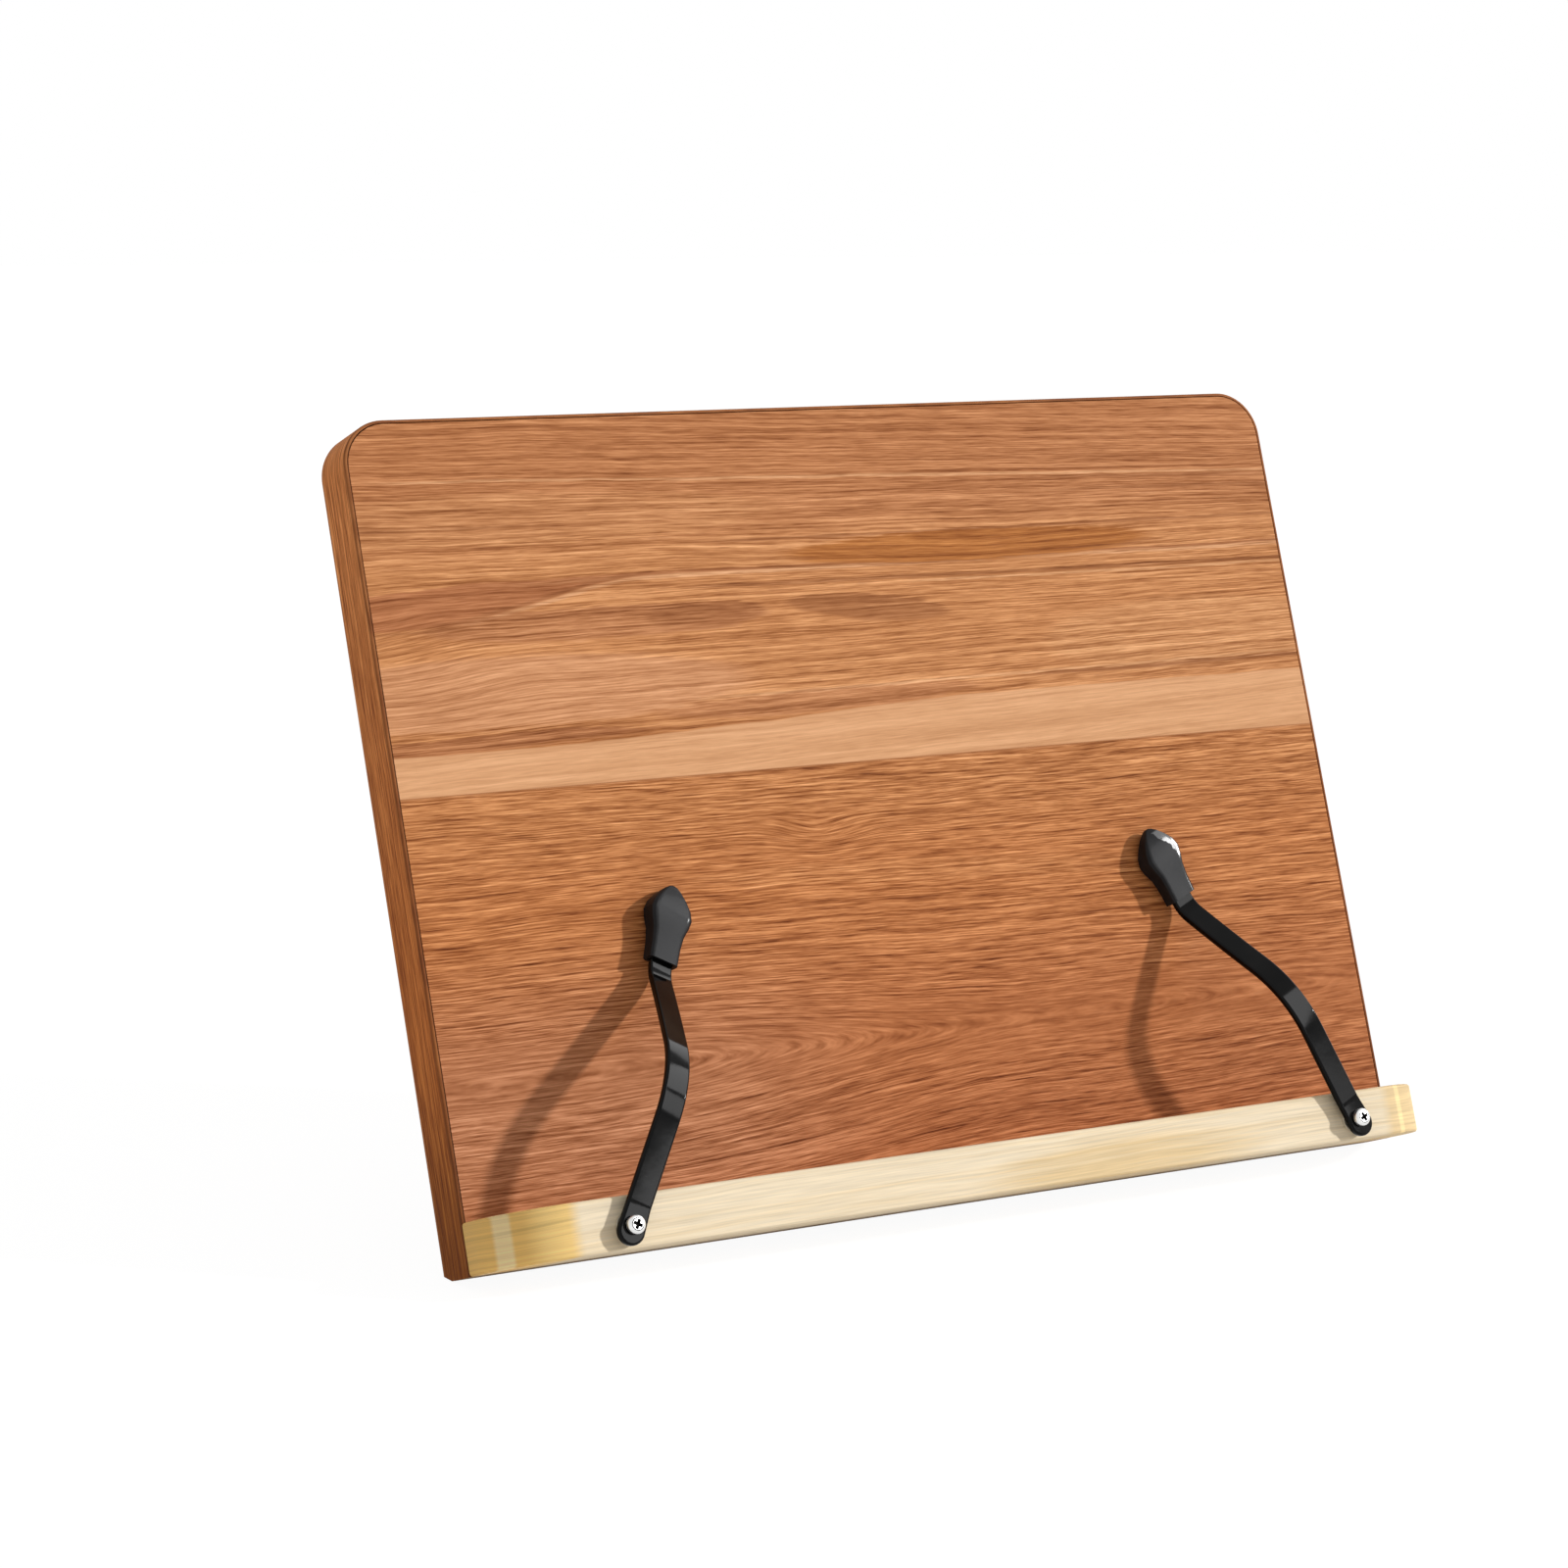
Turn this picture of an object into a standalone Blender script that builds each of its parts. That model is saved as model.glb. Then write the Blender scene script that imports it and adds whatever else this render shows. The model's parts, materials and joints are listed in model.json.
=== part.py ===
"""Wooden book stand: a leaning board with a ledge, two swinging page clips and a folding rear leg.

Every piece on the board is modelled in the board's own frame: X runs across the board, Y up its
face and Z out of it towards the reader. The leg, the wire stay and each clip have a frame of their
own with its origin on the axis that they turn about. All lengths are in metres.
"""

import math

import bmesh
import bpy
from mathutils import Matrix, Vector

# Fits
SEAT_GAP = 0.0003
CUT_OVERRUN = 0.002

# Reading board
BOARD_WIDTH = 0.280
BOARD_HEIGHT = 0.212
BOARD_THICKNESS = 0.015
BOARD_CORNER_RADIUS = 0.012
EDGE_BAND_THICKNESS = 0.0008
EDGE_BAND_BEVEL = 0.0004
REST_FACET_WIDTH = 0.004
BOARD_LEAN_DEG = 18.9

# Ledge
LEDGE_DEPTH = 0.025
LEDGE_HEIGHT = 0.013
LEDGE_CORNER_RADIUS = 0.020
LEDGE_EDGE_BEVEL = 0.0006
LEDGE_SCREW_SPACING = 0.085
LEDGE_SCREW_LENGTH = 0.032
LEDGE_SCREW_SHANK = 0.0032
LEDGE_SCREW_HEAD = 0.0066

# Page clips
CLIP_INSET = 0.0312
CLIP_PIVOT_HEIGHT = 0.0055
LEFT_CLIP_ANGLE_DEG = 28.0
RIGHT_CLIP_ANGLE_DEG = 24.1
CLIP_SCREW_LENGTH = 0.0145
CLIP_SCREW_SHANK = 0.0030
CLIP_SCREW_HEAD = 0.0050
CLIP_SCREW_HEAD_HEIGHT = 0.0018
WASHER_DIAMETER = 0.0068
WASHER_THICKNESS = 0.0008

# Clip arm, a bent steel strip
ARM_THICKNESS = 0.0020
ARM_EDGE_BEVEL = 0.0003
ARM_EYE_WIDTH = 0.0072
ARM_ROOT_WIDTH = 0.0066
ARM_END_WIDTH = 0.0062
ARM_TAIL = 0.0050
ARM_FLAT_LENGTH = 0.0045
ARM_KICK_RADIUS = 0.015
ARM_KICK_DEG = 5.5
ARM_RISE_LENGTH = 0.021
ARM_CROWN_RADIUS = 0.027
ARM_DROP_DEG = 41.5
ARM_FOOT_RADIUS = 0.009
ARM_FOOT_DEG = 4.0
ARM_END_LENGTH = 0.012
ARM_SET_START = 0.027
ARM_SET_END = 0.069
ARM_SET_DEG = 6.0

# Clip tip, a moulded rubber cap
TIP_LENGTH = 0.0203
TIP_WIDTH = 0.0120
TIP_THICKNESS = 0.0060

# Rear leg
LEG_WIDTH = 0.100
LEG_THICKNESS = 0.012
LEG_EDGE_BEVEL = 0.0008
LEG_OPEN_DEG = 36.0
HINGE_HEIGHT = 0.150
NOTCH_DEPTH = 0.0028
NOTCH_PITCH = 0.012
LOWEST_NOTCH = 0.128
PAD_DIAMETER = 0.009
PAD_THICKNESS = 0.0015
PAD_INSET = 0.012

# Butt hinges
HINGE_WIDTH = 0.030
HINGE_INSET = 0.022
LEAF_LENGTH = 0.024
LEAF_THICKNESS = 0.0010
PIN_DIAMETER = 0.0020
HINGE_SCREW_LENGTH = 0.0085
HINGE_SCREW_SHANK = 0.0026
HINGE_SCREW_HEAD = 0.0044
HINGE_SCREW_SPACING = 0.018

# Wire stay and its saddles
WIRE_DIAMETER = 0.003
STAY_SIDE_CLEARANCE = 0.0035
STAY_DROP = 0.110
STAY_STUB_LENGTH = 0.018
SADDLE_WIDTH = 0.008
SADDLE_FLANGE = 0.008
SADDLE_THICKNESS = 0.0010
SADDLE_SCREW_LENGTH = 0.0085
SADDLE_SCREW_SHANK = 0.0024
SADDLE_SCREW_HEAD = 0.0046
SADDLE_SCREW_HEAD_HEIGHT = 0.0016

# Counts
CORNER_STEPS = 8
LEDGE_CORNER_STEPS = 10
ROUND_SIDES = 20
SHANK_SIDES = 12
BEND_STEPS = 8
EYE_STEPS = 6
TIP_SIDES = 16
NOTCH_COUNT = 5
KNUCKLE_COUNT = 3

# Shares of a piece's own sizes
SCREW_POINT_SHARE = 0.2
COUNTERSINK_DEPTH_SHARE = 0.5
CROSS_LENGTH_SHARE = 0.56
CROSS_WIDTH_SHARE = 0.15
CROSS_DEPTH_SHARE = 0.6
PAN_DOME_SHARES = ((1.0, 0.0), (1.0, 0.42), (0.92, 0.72), (0.72, 0.92), (0.40, 1.0), (0.0, 1.0))
PIN_END_SHARE = 0.3
TIP_SHARES = (
    # along, width, thickness
    (0.00, 0.69, 0.80),
    (0.22, 0.70, 0.84),
    (0.38, 0.76, 0.92),
    (0.52, 0.93, 0.99),
    (0.62, 1.00, 1.00),
    (0.73, 0.90, 0.92),
    (0.84, 0.66, 0.74),
    (0.93, 0.40, 0.52),
    (0.98, 0.20, 0.34),
    (1.00, 0.08, 0.20),
)
TIP_WIDEST_SHARE = 0.62

# Shapes
TIP_SQUARENESS = 2.8
EYE_START_DEG = 14.0
HINGE_CURL_DEG = 290.0
NOTCH_SLANT = math.sqrt(2.0)

# Worked-out sizes
LEAN = math.radians(BOARD_LEAN_DEG)
LEG_OPEN = math.radians(LEG_OPEN_DEG)
LEG_TILT = LEG_OPEN - LEAN
HALF_WIDTH = BOARD_WIDTH / 2
WIRE_RADIUS = WIRE_DIAMETER / 2
WIRE_BEND_RADIUS = STAY_SIDE_CLEARANCE + WIRE_RADIUS
KNUCKLE_BORE = PIN_DIAMETER / 2 + SEAT_GAP
KNUCKLE_RADIUS = KNUCKLE_BORE + LEAF_THICKNESS
HINGE_STANDOFF = SEAT_GAP + KNUCKLE_RADIUS
LEG_INNER = KNUCKLE_RADIUS - LEAF_THICKNESS - SEAT_GAP
LEG_OUTER = LEG_INNER - LEG_THICKNESS
LEG_TOP = KNUCKLE_RADIUS + SEAT_GAP
STAY_STANDOFF = SEAT_GAP + WIRE_RADIUS
STAY_HALF_WIDTH = LEG_WIDTH / 2 + STAY_SIDE_CLEARANCE + WIRE_RADIUS
BOARD_BASE = (BOARD_THICKNESS - REST_FACET_WIDTH * math.cos(LEAN)) * math.sin(LEAN)
HINGE_AXIS_HEIGHT = (
    HINGE_HEIGHT * math.cos(LEAN) - (BOARD_THICKNESS + HINGE_STANDOFF) * math.sin(LEAN) + BOARD_BASE
)
STRIP_HEIGHT = SEAT_GAP + WASHER_THICKNESS + SEAT_GAP + ARM_THICKNESS / 2
SCREW_SEAT_HEIGHT = STRIP_HEIGHT + ARM_THICKNESS / 2 + SEAT_GAP


def clear_scene():
    """Remove every object and the meshes, curves and materials that they leave behind."""
    for item in list(bpy.data.objects):
        bpy.data.objects.remove(item, do_unlink=True)
    for store in (bpy.data.meshes, bpy.data.curves, bpy.data.materials):
        for block in list(store):
            store.remove(block)


def make_material(name, color, roughness, metallic):
    """Make a plain finish with one colour."""
    material = bpy.data.materials.new(name)
    material.use_nodes = True
    shader = material.node_tree.nodes["Principled BSDF"]
    shader.inputs["Base Color"].default_value = (*color, 1.0)
    shader.inputs["Roughness"].default_value = roughness
    shader.inputs["Metallic"].default_value = metallic
    material.diffuse_color = (*color, 1.0)
    return material


def make_finishes():
    """Make the finishes that the pieces share."""
    return {
        "foil": make_material("wood_foil", (0.48, 0.21, 0.09), 0.45, 0.0),
        "band": make_material("edge_band", (0.30, 0.13, 0.05), 0.45, 0.0),
        "pine": make_material("pine", (0.80, 0.64, 0.38), 0.55, 0.0),
        "black_steel": make_material("black_steel", (0.015, 0.015, 0.017), 0.25, 0.0),
        "rubber": make_material("black_rubber", (0.03, 0.03, 0.033), 0.6, 0.0),
        "steel": make_material("bright_steel", (0.72, 0.72, 0.70), 0.3, 1.0),
    }


def make_frame(name, parent, location=(0.0, 0.0, 0.0), turn=(0.0, 0.0, 0.0)):
    """Add an empty that carries the pieces of one moving group."""
    frame = bpy.data.objects.new(name, None)
    bpy.context.scene.collection.objects.link(frame)
    frame.parent = parent
    frame.location = location
    frame.rotation_euler = turn
    return frame


def add_object(name, mesh, material, parent, location=(0.0, 0.0, 0.0), turn=(0.0, 0.0, 0.0)):
    """Place a mesh under a frame."""
    item = bpy.data.objects.new(name, mesh)
    bpy.context.scene.collection.objects.link(item)
    if material is not None and not mesh.materials:
        mesh.materials.append(material)
    item.parent = parent
    item.location = location
    item.rotation_euler = turn
    return item


def loft(bm, loops, closed=False):
    """Join equal loops of points into one closed body, with flat ends unless it closes on itself."""
    rings = [[bm.verts.new(point) for point in loop] for loop in loops]
    pairs = list(zip(rings, rings[1:]))
    if closed:
        pairs.append((rings[-1], rings[0]))
    for ring, following in pairs:
        for i in range(len(ring)):
            j = (i + 1) % len(ring)
            bm.faces.new((ring[i], ring[j], following[j], following[i]))
    if not closed:
        bm.faces.new(rings[0])
        bm.faces.new(rings[-1])


def turned(bm, profile, sides, centre=Vector((0.0, 0.0, 0.0)), closed=False):
    """Turn a profile of (radius, height) about Z. A radius of zero makes a pole."""
    rings = []
    for radius, height in profile:
        if radius == 0.0:
            rings.append([bm.verts.new(centre + Vector((0.0, 0.0, height)))])
            continue
        ring = []
        for i in range(sides):
            angle = math.tau * i / sides
            point = Vector((radius * math.cos(angle), radius * math.sin(angle), height))
            ring.append(bm.verts.new(centre + point))
        rings.append(ring)
    pairs = list(zip(rings, rings[1:]))
    if closed:
        pairs.append((rings[-1], rings[0]))
    for low, high in pairs:
        for i in range(sides):
            j = (i + 1) % sides
            corners = [low[i % len(low)], low[j % len(low)], high[j % len(high)], high[i % len(high)]]
            bm.faces.new(list(dict.fromkeys(corners)))


def finish_mesh(name, bm, smooth_deg=0.0, placement=None):
    """Turn the faces outwards and make a mesh, with round stretches shaded smooth."""
    bmesh.ops.recalc_face_normals(bm, faces=bm.faces)
    if placement is not None:
        bm.transform(placement)
    mesh = bpy.data.meshes.new(name)
    bm.to_mesh(mesh)
    bm.free()
    if smooth_deg > 0.0:
        mesh.shade_smooth()
        mesh.set_sharp_from_angle(angle=math.radians(smooth_deg))
    return mesh


def add_cutter(target, name, mesh):
    """Cut a hidden mesh out of a piece, in the same frame as the piece."""
    cutter = add_object(name, mesh, None, target.parent, target.location, target.rotation_euler)
    cutter.hide_render = True
    cutter.display_type = "WIRE"
    cut = target.modifiers.new(name, "BOOLEAN")
    cut.operation = "DIFFERENCE"
    cut.solver = "EXACT"
    cut.object = cutter
    return cutter


def cut_once(name, mesh, cutter_mesh, smooth_deg):
    """Return a mesh with the cutter's shape taken out of it, for pieces that share one mesh."""
    blank = add_object(name, mesh, None, None)
    cutter = add_cutter(blank, name + "_cutter", cutter_mesh)
    bpy.context.view_layer.update()
    result = bpy.data.meshes.new_from_object(blank.evaluated_get(bpy.context.evaluated_depsgraph_get()))
    result.name = name
    bpy.data.objects.remove(blank, do_unlink=True)
    bpy.data.objects.remove(cutter, do_unlink=True)
    result.shade_smooth()
    result.set_sharp_from_angle(angle=math.radians(smooth_deg))
    return result


def arc(centre, radius, start_deg, end_deg, steps):
    """Points along a circular arc, both ends included."""
    points = []
    for i in range(steps + 1):
        angle = math.radians(start_deg + (end_deg - start_deg) * i / steps)
        points.append((centre[0] + radius * math.cos(angle), centre[1] + radius * math.sin(angle)))
    return points


def trim_below(bm, up, height):
    """Cut a body off flat under the plane at a height along a direction."""
    geometry = bm.verts[:] + bm.edges[:] + bm.faces[:]
    bmesh.ops.bisect_plane(bm, geom=geometry, plane_co=up * height, plane_no=up, clear_inner=True)
    bmesh.ops.holes_fill(bm, edges=bm.edges)


def board_outline(inset):
    """The board's outline, inset by a distance, from bottom left over the top to bottom right."""
    radius = BOARD_CORNER_RADIUS - inset
    side = HALF_WIDTH - BOARD_CORNER_RADIUS
    top = BOARD_HEIGHT - BOARD_CORNER_RADIUS
    points = [(inset - HALF_WIDTH, 0.0)]
    points += arc((-side, top), radius, 180.0, 90.0, CORNER_STEPS)
    points += arc((side, top), radius, 90.0, 0.0, CORNER_STEPS)
    points.append((HALF_WIDTH - inset, 0.0))
    return points


def make_board(frame, finishes):
    """The board, with its holes for the ledge, hinge and saddle screws."""
    bm = bmesh.new()
    outline = board_outline(EDGE_BAND_THICKNESS + SEAT_GAP)
    loft(bm, [[(x, y, z) for x, y in outline] for z in (-BOARD_THICKNESS, 0.0)])
    up = Vector((0.0, math.cos(LEAN), math.sin(LEAN)))
    trim_below(bm, up, -BOARD_BASE)
    board = add_object("reading_board", finish_mesh("reading_board", bm, 30.0), finishes["foil"], frame)

    bm = bmesh.new()
    for x in ledge_screw_places():
        countersunk_hole(bm, (x, LEDGE_HEIGHT / 2), LEDGE_SCREW_SHANK, LEDGE_SCREW_HEAD, BOARD_THICKNESS)
    for x in hinge_places():
        for offset in hinge_screw_offsets():
            place = (x + offset, HINGE_HEIGHT + leaf_screw_reach())
            blind_hole(bm, place, HINGE_SCREW_SHANK, HINGE_SCREW_LENGTH - LEAF_THICKNESS)
    for x in saddle_places():
        for offset in saddle_screw_offsets():
            place = (x, stay_axis_height() + offset)
            blind_hole(bm, place, SADDLE_SCREW_SHANK, SADDLE_SCREW_LENGTH - SADDLE_THICKNESS - SEAT_GAP)
    add_cutter(board, "board_holes", finish_mesh("board_holes", bm))
    return board


def countersunk_hole(bm, place, shank, head, depth):
    """A through hole from the board's back, widened there for a flush head."""
    reach = (head - shank) * COUNTERSINK_DEPTH_SHARE
    profile = (
        (0.0, -depth - CUT_OVERRUN),
        (head / 2 + SEAT_GAP, -depth - CUT_OVERRUN),
        (head / 2 + SEAT_GAP, -depth),
        (shank / 2 + SEAT_GAP, -depth + reach),
        (shank / 2 + SEAT_GAP, CUT_OVERRUN),
        (0.0, CUT_OVERRUN),
    )
    turned(bm, profile, SHANK_SIDES, Vector((place[0], place[1], 0.0)))


def blind_hole(bm, place, shank, depth):
    """A hole in the board's back for a screw's shank, closed at its far end."""
    back = -BOARD_THICKNESS
    radius = shank / 2 + SEAT_GAP
    mouth = back - CUT_OVERRUN
    end = back + depth
    profile = ((0.0, mouth), (radius, mouth), (radius, end), (0.0, end))
    turned(bm, profile, SHANK_SIDES, Vector((place[0], place[1], 0.0)))


def make_edge_band(frame, finishes):
    """The thin band that is glued round the left, top and right edges."""
    inner = board_outline(EDGE_BAND_THICKNESS)
    loops = []
    for z, inset in (
        (-BOARD_THICKNESS, EDGE_BAND_BEVEL),
        (-BOARD_THICKNESS + EDGE_BAND_BEVEL, 0.0),
        (-EDGE_BAND_BEVEL, 0.0),
        (0.0, EDGE_BAND_BEVEL),
    ):
        outer = board_outline(inset)
        loops.append([(x, y, z) for x, y in outer + inner[::-1]])
    bm = bmesh.new()
    loft(bm, loops)
    up = Vector((0.0, math.cos(LEAN), math.sin(LEAN)))
    trim_below(bm, up, SEAT_GAP - BOARD_BASE)
    add_object("edge_band", finish_mesh("edge_band", bm, 30.0), finishes["band"], frame)


def ledge_outline(inset):
    """The ledge seen from above, its back flat against the board and its front corners round."""
    radius = LEDGE_CORNER_RADIUS - inset
    side = HALF_WIDTH - LEDGE_CORNER_RADIUS
    front = LEDGE_DEPTH - LEDGE_CORNER_RADIUS
    points = [(inset - HALF_WIDTH, SEAT_GAP)]
    points += arc((-side, front), radius, 180.0, 90.0, LEDGE_CORNER_STEPS)
    points += arc((side, front), radius, 90.0, 0.0, LEDGE_CORNER_STEPS)
    points.append((HALF_WIDTH - inset, SEAT_GAP))
    return points


def make_ledge(frame, finishes):
    """The strip that the book stands on, with pilot holes for its screws."""
    loops = []
    for y, inset in (
        (0.0, LEDGE_EDGE_BEVEL),
        (LEDGE_EDGE_BEVEL, 0.0),
        (LEDGE_HEIGHT - LEDGE_EDGE_BEVEL, 0.0),
        (LEDGE_HEIGHT, LEDGE_EDGE_BEVEL),
    ):
        loops.append([(x, y, z) for x, z in ledge_outline(inset)])
    bm = bmesh.new()
    loft(bm, loops)
    ledge = add_object("ledge", finish_mesh("ledge", bm, 40.0), finishes["pine"], frame)

    bm = bmesh.new()
    radius = LEDGE_SCREW_SHANK / 2 + SEAT_GAP
    depth = LEDGE_SCREW_LENGTH - BOARD_THICKNESS + SEAT_GAP
    for x in ledge_screw_places():
        profile = ((0.0, -CUT_OVERRUN), (radius, -CUT_OVERRUN), (radius, depth), (0.0, depth))
        turned(bm, profile, SHANK_SIDES, Vector((x, LEDGE_HEIGHT / 2, 0.0)))
    radius = CLIP_SCREW_SHANK / 2 + SEAT_GAP
    start = LEDGE_DEPTH + SCREW_SEAT_HEIGHT - CLIP_SCREW_LENGTH - SEAT_GAP
    end = LEDGE_DEPTH + CUT_OVERRUN
    for x in clip_places():
        profile = ((0.0, start), (radius, start), (radius, end), (0.0, end))
        turned(bm, profile, SHANK_SIDES, Vector((x, CLIP_PIVOT_HEIGHT, 0.0)))
    add_cutter(ledge, "ledge_holes", finish_mesh("ledge_holes", bm))


def clip_places():
    """Where the two clips are screwed, across the board."""
    return (CLIP_INSET - HALF_WIDTH, HALF_WIDTH - CLIP_INSET)


def ledge_screw_places():
    """Where the ledge screws stand, across the board."""
    return (-LEDGE_SCREW_SPACING, 0.0, LEDGE_SCREW_SPACING)


def hinge_places():
    """The middles of the two hinges, across the board."""
    return (HINGE_INSET - LEG_WIDTH / 2, LEG_WIDTH / 2 - HINGE_INSET)


def hinge_screw_offsets():
    """Where a leaf's two screws stand, across the leaf."""
    return (-HINGE_SCREW_SPACING / 2, HINGE_SCREW_SPACING / 2)


def leaf_screw_reach():
    """How far a leaf's screws stand from the hinge axis."""
    return (LEG_TOP + LEAF_LENGTH) / 2


def saddle_places():
    """The middles of the two saddles, on the stubs of the wire stay."""
    outer = STAY_HALF_WIDTH + STAY_STUB_LENGTH - SADDLE_WIDTH
    return (-outer, outer)


def saddle_screw_offsets():
    """Where a saddle's two screws stand, above and below the wire."""
    reach = WIRE_RADIUS + SEAT_GAP + SADDLE_THICKNESS + SADDLE_FLANGE / 2
    return (-reach, reach)


def stay_axis_height():
    """Height up the board of the axis that the wire stay turns about."""
    return HINGE_HEIGHT - STAY_DROP


def cross_recess(head, top, depth):
    """The cross-shaped driver recess in a screw's head."""
    length = head * CROSS_LENGTH_SHARE / 2
    width = head * CROSS_WIDTH_SHARE / 2
    outline = []
    for quarter in range(4):
        turn = Matrix.Rotation(quarter * math.pi / 2, 2)
        for corner in (Vector((length, -width)), Vector((length, width)), Vector((width, width))):
            outline.append(turn @ corner)
    bm = bmesh.new()
    floor = top - depth
    loft(bm, [[(p.x, p.y, z) for p in outline] for z in (floor, top + CUT_OVERRUN)])
    return finish_mesh("cross_recess", bm)


def pan_screw_mesh(name, length, shank, head, head_height):
    """A pan-head screw whose head rests on the plane at zero."""
    radius = shank / 2
    point = length * SCREW_POINT_SHARE
    profile = [(0.0, -length), (radius, point - length), (radius, 0.0)]
    profile += [(head / 2 * across, head_height * along) for across, along in PAN_DOME_SHARES]
    bm = bmesh.new()
    turned(bm, profile, ROUND_SIDES)
    blank = finish_mesh(name, bm)
    recess = cross_recess(head, head_height, head_height * CROSS_DEPTH_SHARE)
    return cut_once(name, blank, recess, 35.0)


def flat_screw_mesh(name, length, shank, head):
    """A countersunk screw whose flat head ends in the plane at zero."""
    radius = shank / 2
    cone = (head - shank) * COUNTERSINK_DEPTH_SHARE
    point = length * SCREW_POINT_SHARE
    profile = ((0.0, -length), (radius, point - length), (radius, -cone), (head / 2, 0.0), (0.0, 0.0))
    bm = bmesh.new()
    turned(bm, profile, ROUND_SIDES)
    blank = finish_mesh(name, bm)
    recess = cross_recess(head, 0.0, cone * CROSS_DEPTH_SHARE)
    return cut_once(name, blank, recess, 35.0)


def make_ledge_screws(back, finishes):
    """The three screws that hold the ledge from behind the board."""
    mesh = flat_screw_mesh("ledge_screw", LEDGE_SCREW_LENGTH, LEDGE_SCREW_SHANK, LEDGE_SCREW_HEAD)
    names = ("ledge_screw_right", "ledge_screw_centre", "ledge_screw_left")
    for name, x in zip(names, ledge_screw_places()):
        add_object(name, mesh, finishes["steel"], back, (x, LEDGE_HEIGHT / 2, 0.0))


def bent_path(start, moves):
    """Stations (y, z, heading) along a strip that runs straight and bends in turn."""
    y, z = start
    heading = 0.0
    stations = [(y, z, heading)]
    for length, radius, turn in moves:
        if radius == 0.0:
            y += length * math.cos(heading)
            z += length * math.sin(heading)
            stations.append((y, z, heading))
            continue
        side = math.copysign(radius, turn)
        centre_y = y - side * math.sin(heading)
        centre_z = z + side * math.cos(heading)
        for i in range(1, BEND_STEPS + 1):
            angle = heading + turn * i / BEND_STEPS
            stations.append((centre_y + side * math.sin(angle), centre_z - side * math.cos(angle), angle))
        heading += turn
        y, z = stations[-1][0], stations[-1][1]
    return stations


def arm_moves():
    """The strip's run from the flat round its hole to its end, which rests just over the board."""
    kick = math.radians(ARM_KICK_DEG)
    drop = math.radians(ARM_DROP_DEG)
    foot = math.radians(ARM_FOOT_DEG)
    rise = ARM_KICK_RADIUS * (1.0 - math.cos(kick)) + ARM_RISE_LENGTH * math.sin(kick)
    crown = ARM_CROWN_RADIUS * (math.cos(kick) - math.cos(drop))
    sole = ARM_FOOT_RADIUS * (math.cos(foot) - math.cos(drop))
    inside = TIP_LENGTH * TIP_WIDEST_SHARE * math.sin(foot)
    top = LEDGE_DEPTH + STRIP_HEIGHT + rise - crown
    bottom = SEAT_GAP + TIP_THICKNESS / 2 + inside + sole
    return (
        (ARM_FLAT_LENGTH, 0.0, 0.0),
        (0.0, ARM_KICK_RADIUS, kick),
        (ARM_RISE_LENGTH, 0.0, 0.0),
        (0.0, ARM_CROWN_RADIUS, -kick - drop),
        ((top - bottom) / math.sin(drop), 0.0, 0.0),
        (0.0, ARM_FOOT_RADIUS, drop - foot),
        (ARM_END_LENGTH, 0.0, 0.0),
    )


def strip_section(station, half_width, half_thickness, bevel):
    """An eight-sided section across a strip, square to its heading."""
    y, z, heading = station
    corners = (
        (half_width - bevel, half_thickness),
        (half_width, half_thickness - bevel),
        (half_width, bevel - half_thickness),
        (half_width - bevel, -half_thickness),
        (bevel - half_width, -half_thickness),
        (-half_width, bevel - half_thickness),
        (-half_width, half_thickness - bevel),
        (bevel - half_width, half_thickness),
    )
    across = Vector((0.0, -math.sin(heading), math.cos(heading)))
    middle = Vector((0.0, y, z))
    return [middle + Vector((x, 0.0, 0.0)) + across * lift for x, lift in corners]


def arm_mesh():
    """The bent strip, rounded at its eye and narrower towards its end."""
    eye = ARM_EYE_WIDTH / 2
    eye_y = eye - ARM_TAIL
    path = bent_path((0.0, STRIP_HEIGHT), arm_moves())[1:]
    end = path[-1][0]
    loops = []
    for i in range(EYE_STEPS + 1):
        angle = math.radians(EYE_START_DEG + (90.0 - EYE_START_DEG) * i / EYE_STEPS)
        station = (eye_y - eye * math.cos(angle), STRIP_HEIGHT, 0.0)
        loops.append(strip_section(station, eye * math.sin(angle), ARM_THICKNESS / 2, ARM_EDGE_BEVEL))
    for station in path:
        width = ARM_ROOT_WIDTH + (ARM_END_WIDTH - ARM_ROOT_WIDTH) * station[0] / end
        loops.append(strip_section(station, width / 2, ARM_THICKNESS / 2, ARM_EDGE_BEVEL))
    bm = bmesh.new()
    loft(bm, loops)
    blank = finish_mesh("clip_arm", bm)
    bm = bmesh.new()
    radius = CLIP_SCREW_SHANK / 2 + SEAT_GAP
    top = STRIP_HEIGHT + ARM_THICKNESS
    profile = ((0.0, 0.0), (radius, 0.0), (radius, top), (0.0, top))
    turned(bm, profile, ROUND_SIDES)
    return cut_once("clip_arm", blank, finish_mesh("arm_hole", bm), 25.0)


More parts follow.
